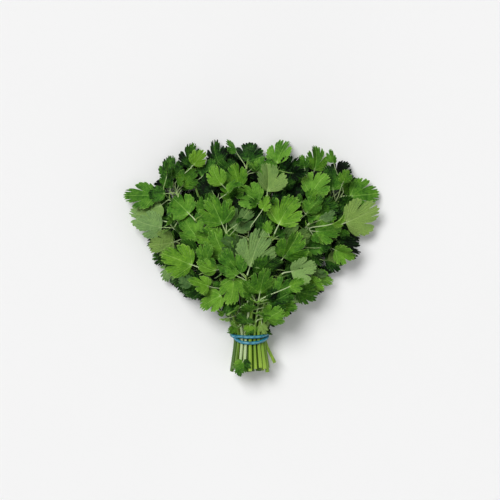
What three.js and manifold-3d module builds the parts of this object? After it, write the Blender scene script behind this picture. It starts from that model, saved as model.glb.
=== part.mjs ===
// A tied bunch of coriander lying on its side: cut stems towards -Y, leaves towards +Y, +Z up.
// Millimetres. The origin is the middle of the bunch's footprint, on the surface that it lies on.

import * as THREE from 'three';
import { mergeVertices } from 'three/addons/utils/BufferGeometryUtils.js';
import Module from 'manifold-3d';

const wasm = await Module();
wasm.setup();

// ---------------------------------------------------------------- driving dimensions

const BAND_Y = -76; // where the elastic band ties the stems
const CUT_Y = -104; // mean place of the cut ends
const CUT_RAGGED = 4.5; // how far the cut ends stand before or behind it
const BUNDLE_HALF_WIDTH = 13.2; // outermost stem centres at the band
const BUNDLE_HALF_HEIGHT = 11.6;
const BUNDLE_X = -2.5;
const BUNDLE_Z = 16.4; // height of the bundle's middle
const CUT_FLARE = 1.27; // the stems spread again below the band
const NECK_Y = -67; // where the stems start to part
const TIED = 4; // the stems run straight this far before and behind the band
const NECK_SPREAD = 0.045; // slope of a stem there, for each millimetre from the bundle's middle
const CORE_Z = 15; // the stems run low in the heap
const SINK = 0.75; // and rise to the leaves at their ends
const RINGS = [1, 6, 12, 18, 21]; // stems in each ring of the bundle

const STEM_RADIUS = { cut: 1.45, band: 1.25, fork: 0.8 };
const STEM_SIDES = 5;
const BEND_STEPS = 5; // straight lengths in a stem's bend

const LEAF_THICKNESS = 0.8;
const STALK_WIDTH = 1.1; // the small stalk of each leaflet
const LEAF_WIDTH = 0.92; // of its length
const LEAF_PAD = 0.75; // half the room that a wavy blade needs
const LEAST_GAP = 0.5; // between two pieces
const TRIES = 110; // places tried for a leaflet before it is left off

const HEAP_RIM = 26; // height of the heap at its rim
const HEAP_RISE = 27; // and how much higher its middle is
const HEAP_X = 116;
const HEAP_Y = 94;
const HEAP_MIDDLE_Y = 24;

const BAND_RADIUS = 1.3; // of the elastic's own section
const BAND_PARTED = 2.7; // half the distance between the two windings on top
const BAND_BESIDE = 1.5; // the same at the sides and below
const BAND_OVER = 1.55; // half the distance where one winding crosses the other
const BAND_TILT = 4.5; // how far the band slants towards the cut ends on top
const BAND_ROOM = 0.4; // between the band and the stems

// Half width of the heap of leaves at each Y.
const OUTLINE = [
  [-70, 17], [-62, 26], [-50, 47], [-36, 66], [-22, 87], [0, 97], [24, 105], [31, 119],
  [60, 119], [67, 105], [78, 91], [92, 85], [100, 72], [108, 44],
];

// Sprigs of the crown: x and y of the end leaflet's middle, its height as a share of the heap's,
// its heading in degrees from +Y towards +X, its length, and how many pairs of side leaflets it has.
const CROWN = [
  [-103, 55, 0.5, -86, 30, 2], [-99, 36, 0.7, -70, 34, 2], [-86, 13, 0.55, -80, 24, 2],
  [-87, -4, 0.4, -95, 20, 1], [-76, -20, 0.45, -105, 22, 2], [-54, -33, 0.5, -120, 22, 2],
  [-68, -2, 0.9, -62, 31, 2], [-86, 66, 0.4, -48, 20, 2], [-77, 80, 0.55, -16, 24, 2],
  [-59, 89, 0.5, -12, 24, 2], [-67, 47, 0.8, -42, 29, 3], [-60, 22, 0.7, -52, 29, 2],
  [-41, -40, 0.75, -135, 22, 1], [-20, -52, 0.85, -158, 20, 1],
  [-34, 95, 0.5, -14, 26, 2], [-5, 98, 0.6, 2, 26, 2], [24, 95, 0.5, 14, 26, 2],
  [-41, 68, 0.85, -22, 29, 3], [-13, 73, 0.75, -5, 29, 3], [16, 70, 0.9, 10, 29, 3],
  [-34, 40, 0.95, -25, 31, 3], [-3, 42, 0.85, 4, 31, 3], [28, 40, 0.95, 22, 31, 3],
  [2, 6, 0.97, 16, 35, 2], [-34, 10, 0.85, -35, 29, 3], [35, 8, 0.85, 35, 28, 3],
  [-22, -34, 0.97, -168, 28, 1], [7, -22, 0.9, 6, 25, 2], [19, -12, 0.75, 140, 22, 1],
  [-43, -15, 0.75, -82, 28, 2],
  [103, 54, 0.5, 84, 30, 2], [99, 34, 0.7, 68, 34, 2], [90, 13, 0.45, 88, 22, 1],
  [77, -7, 0.55, 94, 24, 2], [63, -23, 0.5, 106, 22, 2], [49, -38, 0.75, 112, 20, 1],
  [29, -52, 0.8, 158, 21, 1], [86, 65, 0.4, 44, 20, 2], [78, 80, 0.55, 14, 24, 2],
  [57, 87, 0.5, 10, 24, 2], [58, 65, 0.8, 28, 28, 3], [65, 42, 0.85, 45, 30, 3],
  [58, 16, 0.75, 60, 28, 3], [47, -11, 0.9, 72, 28, 2], [27, -30, 0.85, 42, 25, 2],
];

// Sprigs that lie on the surface: the same without a height, with one pair of side leaflets.
const UNDERSIDE = [
  [-88, 46, -70, 27], [-76, 4, -84, 25], [-58, 74, -28, 26], [-40, 28, -48, 26], [-22, 86, -10, 26],
  [-8, 42, -4, 26], [22, 84, 12, 26], [0, -4, 6, 25], [38, 26, 46, 26], [56, 72, 28, 26],
  [76, 4, 84, 25], [88, 46, 70, 27], [34, -32, 50, 22],
];

// ---------------------------------------------------------------- small helpers

let state = 3; // of the random numbers, which are the same each time

function random(low, high) {
  state = (state * 48271) % 2147483647;
  return low + ((high - low) * state) / 2147483647;
}

const rad = (degrees) => (degrees * Math.PI) / 180;
const add = (a, b, k = 1) => [a[0] + b[0] * k, a[1] + b[1] * k, a[2] + b[2] * k];
const dot = (a, b) => a[0] * b[0] + a[1] * b[1] + a[2] * b[2];
const mix = (a, b, t) => add(a, add(b, a, -1), t);
const length = (a) => Math.sqrt(dot(a, a));
const unit = (a) => add([0, 0, 0], a, 1 / length(a));
const cross = (a, b) => [
  a[1] * b[2] - a[2] * b[1], a[2] * b[0] - a[0] * b[2], a[0] * b[1] - a[1] * b[0],
];

// Height of the heap of leaves above the surface.
function heapHeight(x, y) {
  const bulge = 1 - (x / HEAP_X) ** 2 - ((y - HEAP_MIDDLE_Y) / HEAP_Y) ** 2;
  return HEAP_RIM + HEAP_RISE * Math.max(0, bulge);
}

function outlineAt(y) {
  for (let i = 1; i < OUTLINE.length; i++) {
    const [y0, x0] = OUTLINE[i - 1];
    const [y1, x1] = OUTLINE[i];
    if (y >= y0 && y <= y1) return x0 + ((x1 - x0) * (y - y0)) / (y1 - y0);
  }
  return 0;
}

// ---------------------------------------------------------------- room between pieces

// A convex shape that other pieces stay clear of: a flat blade, or a straight length of stem.
function solidOf(points, radius, owner, kind) {
  const middle = points.reduce((sum, p) => add(sum, p, 1 / points.length), [0, 0, 0]);
  const edges = points.map((p, i) => unit(add(points[(i + 1) % points.length], p, -1)));
  if (points.length === 2) edges.pop();
  const normal = points.length > 2 ? unit(cross(edges[0], edges[1])) : null;
  const reach = Math.max(...points.map((p) => length(add(p, middle, -1)))) + radius;
  return { points, radius, owner, kind, middle, edges, normal, reach };
}

function axesBetween(a, b) {
  const apart = add(b.middle, a.middle, -1);
  const axes = [apart];
  for (const side of [a, b]) {
    if (side.normal) {
      axes.push(side.normal);
      for (const e of side.edges) axes.push(cross(side.normal, e));
    } else {
      axes.push(add(apart, side.edges[0], -dot(apart, side.edges[0])));
    }
  }
  for (const e of a.edges) for (const f of b.edges) axes.push(cross(e, f));
  return axes;
}

// True if some plane parts the two shapes with the gap between them.
function parted(a, b, gap) {
  const room = a.radius + b.radius + gap;
  if (length(add(a.middle, b.middle, -1)) > a.reach + b.reach + gap) return true;
  for (const axis of axesBetween(a, b)) {
    const size = length(axis);
    if (size < 1e-3) continue;
    let [lowA, highA, lowB, highB] = [Infinity, -Infinity, Infinity, -Infinity];
    for (const p of a.points) {
      const at = dot(p, axis) / size;
      lowA = Math.min(lowA, at);
      highA = Math.max(highA, at);
    }
    for (const p of b.points) {
      const at = dot(p, axis) / size;
      lowB = Math.min(lowB, at);
      highB = Math.max(highB, at);
    }
    if (Math.max(lowB - highA, lowA - highB) > room) return true;
  }
  return false;
}

const placed = []; // every blade, stalk and length of stem so far

const isClear = (shape, skip) => placed.every((other) => skip(other) || parted(shape, other, LEAST_GAP));

// ---------------------------------------------------------------- stems

// Places of the stems in the bundle at the band, ring by ring.
function bundlePlaces() {
  const places = [];
  RINGS.forEach((count, ring) => {
    const share = ring / (RINGS.length - 1);
    for (let i = 0; i < count; i++) {
      const turn = ((i + 0.5 * (ring % 2)) / count) * 2 * Math.PI;
      places.push([
        BUNDLE_X + BUNDLE_HALF_WIDTH * share * Math.sin(turn),
        BUNDLE_Z + BUNDLE_HALF_HEIGHT * share * Math.cos(turn),
      ]);
    }
  });
  return places;
}

// The fork is where the end leaflet's stalk leaves the stem.
function plannedSprigs() {
  const plans = CROWN.map(([x, y, share, heading, size, pairs]) => {
    const back = size / 2 + 8;
    const z = Math.max(5, share * heapHeight(x, y) - 2);
    const fork = [x - back * Math.sin(rad(heading)), y - back * Math.cos(rad(heading)), z];
    return { fork, heading, size, pairs, share, flat: false };
  });
  for (const [x, y, heading, size] of UNDERSIDE) {
    const back = size / 2 + 8;
    const fork = [x - back * Math.sin(rad(heading)), y - back * Math.cos(rad(heading)), 1.2];
    plans.push({ fork, heading, size, pairs: 1, share: 0, flat: true });
  }
  return plans;
}

// Sprigs that fan out to the left take the left stems, and the high ones the high stems.
function shareOutPlaces(plans) {
  const fan = (plan) => Math.atan2(plan.fork[0] - BUNDLE_X, plan.fork[1] - NECK_Y);
  const rounded = (value) => Math.round(value * 1000); // so that mirrored places count as level
  const across = [...plans].sort((a, b) => fan(a) - fan(b));
  const places = bundlePlaces().sort((a, b) => rounded(a[0]) - rounded(b[0]));
  const column = 6;
  for (let i = 0; i < across.length; i += column) {
    const high = (plan) => plan.fork[2] - 0.12 * plan.fork[1];
    const some = across.slice(i, i + column).sort((a, b) => high(a) - high(b));
    const room = places.slice(i, i + column).sort((a, b) => rounded(a[1]) - rounded(b[1]));
    some.forEach((plan, k) => (plan.place = room[k]));
  }
}

function bezier(a, b, c, d, t) {
  const s = 1 - t;
  let p = add([0, 0, 0], a, s * s * s);
  p = add(p, b, 3 * s * s * t);
  p = add(p, c, 3 * s * t * t);
  return add(p, d, t * t * t);
}

// Middle line of a stem: from its cut end through the band, then in one bend to its fork.
function stemLine(plan, bow) {
  const [x, z] = plan.place;
  const cut = [BUNDLE_X + (x - BUNDLE_X) * CUT_FLARE, plan.cutY, z];
  const neck = [BUNDLE_X + (x - BUNDLE_X) * 1.04, NECK_Y, z];
  const away = unit(add(plan.fork, neck, -1));
  const heading = [Math.sin(rad(plan.heading)), Math.cos(rad(plan.heading)), 0];
  const arrive = unit([away[0] + heading[0], away[1] + heading[1], plan.flat ? 0 : 0.4 * away[2]]);
  const span = length(add(plan.fork, neck, -1));
  const spread = [(x - BUNDLE_X) * NECK_SPREAD, 1, (z - BUNDLE_Z) * NECK_SPREAD * 0.6];
  const leave = unit([spread[0] + bow[0], 1, spread[2] + bow[1]]);
  const lift = plan.flat ? 0 : bow[1] * 12;
  const first = add(neck, leave, span * 0.36);
  const last = add(plan.fork, arrive, -span * 0.34);
  last[2] = plan.flat ? 1.3 : mix([0, 0, last[2]], [0, 0, CORE_Z], SINK)[2] + lift;
  const line = [cut, [x, BAND_Y - TIED, z], [x, BAND_Y + TIED, z]];
  for (let i = 0; i <= BEND_STEPS; i++) line.push(bezier(neck, first, last, plan.fork, i / BEND_STEPS));
  return line;
}

// How far along its own length, from band to fork, sets how thin the stem is.
function radiiAlong(line) {
  const { cut, band, fork } = STEM_RADIUS;
  return line.map((p, i) => (i === 0 ? cut : band + ((fork - band) * Math.max(0, i - 2)) / (line.length - 3)));
}

// Ways to bend a stem's route aside, the straightest first.
function bows() {
  const ways = [[0, 0]];
  for (let i = 0; i < 120; i++) {
    const size = 0.1 + 0.01 * i;
    ways.push([size * Math.sin(i * 2.4), size * Math.cos(i * 2.4)]);
  }
  return ways;
}

function growStem(plan, owner) {
  plan.cutY = CUT_Y + random(-CUT_RAGGED, CUT_RAGGED);
  let best = null;
  for (const bow of bows()) {
    const line = stemLine(plan, bow);
    const radii = radiiAlong(line);
    const lengths = line.slice(1).map((p, i) =>
      solidOf([line[i], p], (radii[i] + radii[i + 1]) / 2, owner, 'stem'));
    const low = Math.min(...line.map((p, i) => p[2] - radii[i]));
    const hits = lengths.filter((s) => !placed.every((o) => parted(s, o, 0.1))).length + (low < 0 ? 5 : 0);
    if (!best || hits < best.hits) best = { hits, line, radii, lengths };
    if (hits === 0) break;
  }
  Object.assign(plan, best);
  placed.push(...best.lengths);
}

// ---------------------------------------------------------------- leaflets

// A leaflet's frame: from its root, along it, across it and out of its upper face.
function leafFrame(root, heading, rise, roll) {
  const [h, r, o] = [rad(heading), rad(rise), rad(roll)];
  const along = [Math.sin(h) * Math.cos(r), Math.cos(h) * Math.cos(r), Math.sin(r)];
  const level = [Math.cos(h), -Math.sin(h), 0];
  const up = cross(level, along);
  const across = add(add([0, 0, 0], level, Math.cos(o)), up, -Math.sin(o));
  const out = add(add([0, 0, 0], up, Math.cos(o)), level, Math.sin(o));
  return { root, along, across, out };
}

const inFrame = (frame, t, s) => add(add(frame.root, frame.along, t), frame.across, s);

// Half widths of the blade along its length, each as a share of the blade's.
const BLADE = [[0.04, 0.1], [0.36, 0.5], [0.78, 0.4], [1, 0]];

function bladePoints(leaf) {
  const right = BLADE.map(([t, w]) => [leaf.stalk + t * leaf.size, w * leaf.size * LEAF_WIDTH]);
  const left = right.slice(0, -1).reverse().map(([t, w]) => [t, -w]);
  return [...right, ...left];
}

function insideHeap(points) {
  return points.every((p) => Math.abs(p[0]) < outlineAt(p[1]) && p[2] > LEAF_THICKNESS / 2 + 0.3);
}

// Tilt of the heap's surface, softer low down in it.
function slopeAt(plan, root, heading) {
  const [x, y] = root;
  const step = 4;
  const steep = 0.9 * plan.share;
  const sx = ((heapHeight(x + step, y) - heapHeight(x - step, y)) / (2 * step)) * steep;
  const sy = ((heapHeight(x, y + step) - heapHeight(x, y - step)) / (2 * step)) * steep;
  const [s, c] = [Math.sin(rad(heading)), Math.cos(rad(heading))];
  const edge = Math.min(1, Math.abs(x) / 110) ** 3 * 14;
  return [(Math.atan(sx * s + sy * c) * 180) / Math.PI - edge, (Math.atan(-sx * c + sy * s) * 180) / Math.PI];
}

// Point and heading on the stem, this far back from its fork.
function backAlong(line, distance) {
  let left = distance;
  for (let i = line.length - 1; i > 0; i--) {
    const step = add(line[i - 1], line[i], -1);
    const size = length(step);
    if (left <= size) {
      const at = add(line[i], step, left / size);
      return { at, heading: (Math.atan2(-step[0], -step[1]) * 180) / Math.PI };
    }
    left -= size;
  }
  return null;
}

// One place for a leaflet, further from its usual place the wilder it is, or null if it has no room.
function tryLeaf(plan, owner, wish, wild) {
  const node = backAlong(plan.line, wish.back * (1 + 0.7 * wild * random(0, 1)));
  const heading = (wish.side ? node.heading + wish.side * wish.turn : plan.heading) + random(-6, 6) * (1 + 6 * wild);
  const leaf = {
    size: wish.size * (1 - 0.25 * wild) * random(0.94, 1.06),
    stalk: wish.stalk * random(0.9, 1.15 + 0.7 * wild),
  };
  const lies = plan.flat && node.at[2] < 1.5;
  const [rise, roll] = slopeAt(plan, node.at, heading);
  leaf.frame = lies
    ? leafFrame([node.at[0], node.at[1], LEAF_THICKNESS / 2], heading, 0, 0)
    : leafFrame(node.at, heading, rise + random(-16, 16) * (1 + 2 * wild), roll + random(-26, 26) * (1 + wild));
  const points = bladePoints(leaf).map(([t, s]) => inFrame(leaf.frame, t, s));
  if (!lies && !insideHeap(points)) return null;
  leaf.blade = solidOf(points, LEAF_PAD, owner, 'blade');
  leaf.foot = solidOf([inFrame(leaf.frame, 0, 0), inFrame(leaf.frame, leaf.stalk + 2, 0)], STALK_WIDTH / 2, owner, 'stalk');
  const own = (other) => other.owner === owner;
  if (!isClear(leaf.blade, (other) => own(other) && other.kind !== 'blade')) return null;
  return isClear(leaf.foot, own) ? leaf : null;
}

function growLeaf(plan, owner, wish) {
  for (let attempt = 0; attempt < TRIES; attempt++) {
    const leaf = tryLeaf(plan, owner, wish, attempt / TRIES);
    if (leaf) {
      placed.push(leaf.blade, leaf.foot);
      plan.leaves.push(leaf);
      return;
    }
  }
}

function growPair(plan, owner, pair) {
  const size = plan.size * (pair === 1 ? 0.86 : 0.92);
  for (const side of [-1, 1]) {
    growLeaf(plan, owner, { back: 14 * pair - 7, side, turn: random(52, 72), size, stalk: 6 + 3 * pair });
  }
}

const sprigs = plannedSprigs();
shareOutPlaces(sprigs);
sprigs.forEach((plan) => (plan.leaves = []));
const lowestFirst = [...sprigs.keys()].sort((a, b) => sprigs[a].fork[2] - sprigs[b].fork[2]);
lowestFirst.forEach((owner) => growStem(sprigs[owner], owner));
sprigs.forEach((plan, owner) => growLeaf(plan, owner, { back: 0, side: 0, turn: 0, size: plan.size, stalk: 8 }));
for (const pair of [1, 2, 3]) {
  sprigs.forEach((plan, owner) => {
    if (plan.pairs >= pair) growPair(plan, owner, pair);
  });
}

// ---------------------------------------------------------------- solids

function toSolid(geometry) {
  const bare = geometry.index ? geometry.toNonIndexed() : geometry;
  bare.deleteAttribute('normal');
  bare.deleteAttribute('uv');
  const merged = mergeVertices(bare, 1e-4);
  return new wasm.Manifold(new wasm.Mesh({
    numProp: 3,
    vertProperties: new Float32Array(merged.attributes.position.array),
    triVerts: new Uint32Array(merged.index.array),
  }));
}

function toGeometry(solid) {
  const { vertProperties, triVerts } = solid.getMesh();
  const geometry = new THREE.BufferGeometry();
  geometry.setAttribute('position', new THREE.BufferAttribute(new Float32Array(vertProperties), 3));
  geometry.setIndex(new THREE.BufferAttribute(new Uint32Array(triVerts), 1));
  geometry.computeVertexNormals();
  return geometry;
}

// A line whose rings stand at its own points.
class StemLine extends THREE.CatmullRomCurve3 {
  getUtoTmapping(u) {
    return u;
  }
}

// A stem: a many-sided rod along its line, thinned from the cut end to the fork.
function stemSolid(plan) {
  const middles = plan.line.map((p) => new THREE.Vector3(...p));
  const section = new THREE.Shape();
  for (let i = 0; i < STEM_SIDES; i++) {
    const turn = (i / STEM_SIDES) * 2 * Math.PI;
    const [x, y] = [Math.cos(turn), Math.sin(turn)];
    if (i === 0) section.moveTo(x, y);
    else section.lineTo(x, y);
  }
  const options = { extrudePath: new StemLine(middles), steps: middles.length - 1, curveSegments: 1 };
  const rod = new THREE.ExtrudeGeometry(section, options);
  const position = rod.attributes.position;
  const corner = new THREE.Vector3();
  for (let i = 0; i < position.count; i++) {
    corner.fromBufferAttribute(position, i);
    const gaps = middles.map((middle) => middle.distanceTo(corner));
    const ring = gaps.indexOf(Math.min(...gaps));
    corner.sub(middles[ring]).multiplyScalar(plan.radii[ring]).add(middles[ring]);
    position.setXYZ(i, corner.x, corner.y, corner.z);
  }
  return toSolid(rod);
}

// A leaflet: its stalk and blade as one flat plate.
function leafSolid(leaf) {
  const half = STALK_WIDTH / 2;
  const right = [[-0.2, half], [leaf.stalk, half], ...bladePoints(leaf).slice(1, BLADE.length)];
  const left = right.slice(0, -1).reverse().map(([t, w]) => [t, -w]);
  const outline = new THREE.Shape([...right, ...left].map(([t, w]) => new THREE.Vector2(w, t)));
  const plate = new THREE.ExtrudeGeometry(outline, { depth: LEAF_THICKNESS, bevelEnabled: false });
  plate.translate(0, 0, -LEAF_THICKNESS / 2);
  const { root, along, across, out } = leaf.frame;
  const place = new THREE.Matrix4().makeBasis(
    new THREE.Vector3(...across), new THREE.Vector3(...along), new THREE.Vector3(...out));
  place.setPosition(...root);
  plate.applyMatrix4(place);
  return toSolid(plate);
}

function sprigGeometry(plan) {
  let solid = stemSolid(plan);
  for (const leaf of plan.leaves) solid = solid.add(leafSolid(leaf));
  return toGeometry(solid);
}

// Middle line of the band: one loop wound twice, whose windings cross at the left side.
class BandLine extends THREE.Curve {
  getPoint(t, target = new THREE.Vector3()) {
    const turn = 4 * Math.PI * t; // from the left side over the top
    const round = turn / (2 * Math.PI);
    const near = Math.min(Math.abs(round - Math.round(round)) * 5, 1); // 0 at the crossing
    const winding = Math.floor(round + 0.5) % 2 === 0 ? 1 : -1;
    const across = Math.sign(round - Math.round(round) || 1) * winding;
    const swing = near * near * (3 - 2 * near);
    const top = Math.max(0, Math.sin(turn));
    const beside = BAND_BESIDE + (BAND_PARTED - BAND_BESIDE) * top * top;
    const side = Math.sin((swing * Math.PI) / 2) * across * beside;
    const over = Math.cos((swing * Math.PI) / 2) * winding * BAND_OVER;
    const clear = STEM_RADIUS.band + BAND_ROOM + BAND_RADIUS + over + Math.abs(Math.cos((swing * Math.PI) / 2)) * BAND_OVER;
    return target.set(
      BUNDLE_X - (BUNDLE_HALF_WIDTH + clear) * Math.cos(turn),
      BAND_Y - BAND_TILT * Math.sin(turn) + side,
      BUNDLE_Z + (BUNDLE_HALF_HEIGHT + clear) * Math.sin(turn),
    );
  }
}

// ---------------------------------------------------------------- scene

const bunch = new THREE.Group();
const greens = [0x4c8a24, 0x3d7a1e, 0x5d9a35, 0x2f6417];

sprigs.forEach((plan, i) => {
  const green = new THREE.MeshStandardMaterial({ color: greens[i % greens.length], roughness: 0.6, metalness: 0 });
  const mesh = new THREE.Mesh(sprigGeometry(plan), green);
  mesh.name = `sprig_${String(i + 1).padStart(2, '0')}`;
  bunch.add(mesh);
});

const elastic = new THREE.MeshStandardMaterial({ color: 0x1e82aa, roughness: 0.45, metalness: 0 });
const band = new THREE.Mesh(new THREE.TubeGeometry(new BandLine(), 48, BAND_RADIUS, 6, true), elastic);
band.name = 'elastic_band';
bunch.add(band);

const box = new THREE.Box3().setFromObject(bunch);
bunch.position.set(-(box.min.x + box.max.x) / 2, -(box.min.y + box.max.y) / 2, -box.min.z);

export default bunch;
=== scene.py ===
"""Looks of a tied bunch of coriander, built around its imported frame: ribbed stems, toothed and veined
leaflets, and the doubled elastic band. The plan of the bunch is worked out in millimetres, as the
frame's own is, and meshes are made in metres."""

import math

import bmesh
import bpy
import numpy as np
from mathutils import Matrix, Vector


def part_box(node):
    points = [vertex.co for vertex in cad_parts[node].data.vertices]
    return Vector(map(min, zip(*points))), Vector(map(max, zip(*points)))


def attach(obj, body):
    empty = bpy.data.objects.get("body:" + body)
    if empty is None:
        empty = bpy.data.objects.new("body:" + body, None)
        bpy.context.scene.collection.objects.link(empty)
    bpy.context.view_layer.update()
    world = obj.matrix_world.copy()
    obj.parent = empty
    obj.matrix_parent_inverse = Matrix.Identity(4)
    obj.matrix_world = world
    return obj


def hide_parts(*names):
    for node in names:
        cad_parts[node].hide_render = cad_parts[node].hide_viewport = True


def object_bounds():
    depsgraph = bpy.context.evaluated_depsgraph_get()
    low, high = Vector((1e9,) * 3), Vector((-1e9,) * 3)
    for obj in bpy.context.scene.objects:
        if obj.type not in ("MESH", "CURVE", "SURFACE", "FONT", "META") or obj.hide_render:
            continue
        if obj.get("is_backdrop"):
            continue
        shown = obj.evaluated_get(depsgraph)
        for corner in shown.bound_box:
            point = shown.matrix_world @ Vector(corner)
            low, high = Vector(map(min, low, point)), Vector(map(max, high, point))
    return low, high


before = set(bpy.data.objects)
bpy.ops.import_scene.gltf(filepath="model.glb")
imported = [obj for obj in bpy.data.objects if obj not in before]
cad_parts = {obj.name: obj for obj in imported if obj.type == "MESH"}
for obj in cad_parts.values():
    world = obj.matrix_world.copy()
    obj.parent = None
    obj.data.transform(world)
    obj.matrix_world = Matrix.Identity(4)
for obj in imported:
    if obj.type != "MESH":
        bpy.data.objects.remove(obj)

bl_info = {
    "name": "Coriander bunch",
    "version": (1, 0, 0),
    "blender": (4, 5, 0),
    "location": "View3D > Sidebar > Coriander",
    "description": "Sprigs, elastic band and studio of a tied coriander bunch",
    "category": "Add Mesh",
}

CAD_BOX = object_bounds()
MM = 0.001
BODY = "root"

# ---------------------------------------------------------------- plan of the bunch, in millimetres
# +Y runs from the cut stems to the leaves and +Z up from the surface that the bunch lies on.

BAND_Y = -76  # where the elastic band ties the stems
CUT_Y = -104  # mean place of the cut ends
CUT_RAGGED = 4.5  # how far the cut ends stand before or behind it
BUNDLE_HALF_WIDTH = 13.2  # outermost stem centres at the band
BUNDLE_HALF_HEIGHT = 11.6
BUNDLE_X = -2.5
BUNDLE_Z = 16.4  # height of the bundle's middle
CUT_FLARE = 1.27  # the stems spread again below the band
NECK_Y = -67  # where the stems start to part
TIED = 4  # the stems run straight this far before and behind the band
NECK_SPREAD = 0.045  # slope of a stem there, for each millimetre from the bundle's middle
NECK_FLARE = 1.04  # how much wider the stems stand there than at the band
NECK_RISE = 0.6  # their slope upwards, against the one sideways
LEAVE_PULL, ARRIVE_PULL = 0.36, 0.34  # how straight a bend starts and ends, as shares of its length
ARRIVE_RISE = 0.4  # how much of its climb a stem keeps at its fork
CORE_Z = 15  # the stems run low in the heap
SINK = 0.75  # and rise to the leaves at their ends
BOW_LIFT = 12  # how far a bow upwards lifts a bend
BOWS, BOW_LEAST, BOW_STEP, BOW_TURN = 120, 0.1, 0.01, 2.4  # ways to bend aside, wider turn by turn
STEM_GAP = 0.1  # between two stems
FLAT_STEM_Z, FLAT_FORK_Z = 1.3, 1.2  # of the sprigs that lie on the surface
LEAST_FORK_Z = 5  # of the others
FORK_SUNK = 2  # the forks are this far inside the heap
COLUMN = 6  # stems that are shared out by height together
AHEAD_IS_LOW = 0.12  # how much lower a fork counts for each millimetre further out
RINGS = (1, 6, 12, 18, 21)  # stems in each ring of the bundle

RADIUS_CUT, RADIUS_BAND, RADIUS_FORK = 1.45, 1.25, 0.8  # of a stem
BEND_STEPS = 5  # straight lengths in a stem's bend, where pieces are kept apart

PLATE_THICKNESS = 0.8  # of a leaflet in the frame
STALK_WIDTH = 1.1  # the small stalk of each leaflet
LEAF_WIDTH = 0.92  # of its length
CORNERS = 7  # of a blade's outline, the most that a shape here has
LEAF_PAD = 0.75  # half the room that a wavy blade needs
LEAST_GAP = 0.5  # between two pieces
TRIES = 110  # places tried for a leaflet before it is left off
END_STALK = 8  # between a stem's fork and its end leaflet
PAIR_STEP = 14  # between two pairs of side leaflets
PAIR_TURN = (52, 72)  # of side leaflets away from their stem
FIRST_PAIR, OTHER_PAIRS = 0.86, 0.92  # size of side leaflets, against the end one
HEADING_VARIES, RISE_VARIES, ROLL_VARIES = 6, 16, 26  # degrees either way
SIZE_VARIES = (0.94, 1.06)
SHRINK = 0.25  # how much smaller the last leaflet tried is than the first
STALK_VARIES = (0.9, 1.15)  # of the length asked for
WILD_STALK, WILD_HEADING, WILD_RISE = 0.7, 6, 2  # how much more the last one tried may vary
SURFACE_GAP = 0.3  # between a leaflet and the surface
LYING_ROOT = 1.5  # a leaflet whose root is below this lies on the surface

HEAP_RIM = 26  # height of the heap at its rim
HEAP_RISE = 27  # and how much higher its middle is
HEAP_X = 116
HEAP_Y = 94
HEAP_MIDDLE_Y = 24
SLOPE_STEP = 4  # over which the heap's slope is measured
SLOPE_KEPT = 0.9  # how much of it a leaflet on top follows
SIDE_X, SIDE_DROOP = 110, 14  # leaflets hang down by this angle at the heap's sides

BAND_RADIUS = 1.3  # of the elastic's own section
BAND_PARTED = 2.7  # half the distance between the two windings on top
BAND_BESIDE = 1.5  # the same at the sides and below
BAND_TILT = 4.5  # how far the band slants towards the cut ends on top

# Half widths of the blade along its length, each as a share of the blade's.
BLADE = ((0.04, 0.1), (0.36, 0.5), (0.78, 0.4), (1, 0))

# Half width of the heap of leaves at each Y.
OUTLINE = (
    (-70, 17), (-62, 26), (-50, 47), (-36, 66), (-22, 87), (0, 97), (24, 105), (31, 119),
    (60, 119), (67, 105), (78, 91), (92, 85), (100, 72), (108, 44),
)

# Sprigs of the crown: x and y of the end leaflet's middle, its height as a share of the heap's,
# its heading in degrees from +Y towards +X, its length, and how many pairs of side leaflets it has.
CROWN = (
    (-103, 55, 0.5, -86, 30, 2), (-99, 36, 0.7, -70, 34, 2), (-86, 13, 0.55, -80, 24, 2),
    (-87, -4, 0.4, -95, 20, 1), (-76, -20, 0.45, -105, 22, 2), (-54, -33, 0.5, -120, 22, 2),
    (-68, -2, 0.9, -62, 31, 2), (-86, 66, 0.4, -48, 20, 2), (-77, 80, 0.55, -16, 24, 2),
    (-59, 89, 0.5, -12, 24, 2), (-67, 47, 0.8, -42, 29, 3), (-60, 22, 0.7, -52, 29, 2),
    (-41, -40, 0.75, -135, 22, 1), (-20, -52, 0.85, -158, 20, 1),
    (-34, 95, 0.5, -14, 26, 2), (-5, 98, 0.6, 2, 26, 2), (24, 95, 0.5, 14, 26, 2),
    (-41, 68, 0.85, -22, 29, 3), (-13, 73, 0.75, -5, 29, 3), (16, 70, 0.9, 10, 29, 3),
    (-34, 40, 0.95, -25, 31, 3), (-3, 42, 0.85, 4, 31, 3), (28, 40, 0.95, 22, 31, 3),
    (2, 6, 0.97, 16, 35, 2), (-34, 10, 0.85, -35, 29, 3), (35, 8, 0.85, 35, 28, 3),
    (-22, -34, 0.97, -168, 28, 1), (7, -22, 0.9, 6, 25, 2), (19, -12, 0.75, 140, 22, 1),
    (-43, -15, 0.75, -82, 28, 2),
    (103, 54, 0.5, 84, 30, 2), (99, 34, 0.7, 68, 34, 2), (90, 13, 0.45, 88, 22, 1),
    (77, -7, 0.55, 94, 24, 2), (63, -23, 0.5, 106, 22, 2), (49, -38, 0.75, 112, 20, 1),
    (29, -52, 0.8, 158, 21, 1), (86, 65, 0.4, 44, 20, 2), (78, 80, 0.55, 14, 24, 2),
    (57, 87, 0.5, 10, 24, 2), (58, 65, 0.8, 28, 28, 3), (65, 42, 0.85, 45, 30, 3),
    (58, 16, 0.75, 60, 28, 3), (47, -11, 0.9, 72, 28, 2), (27, -30, 0.85, 42, 25, 2),
)

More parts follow.
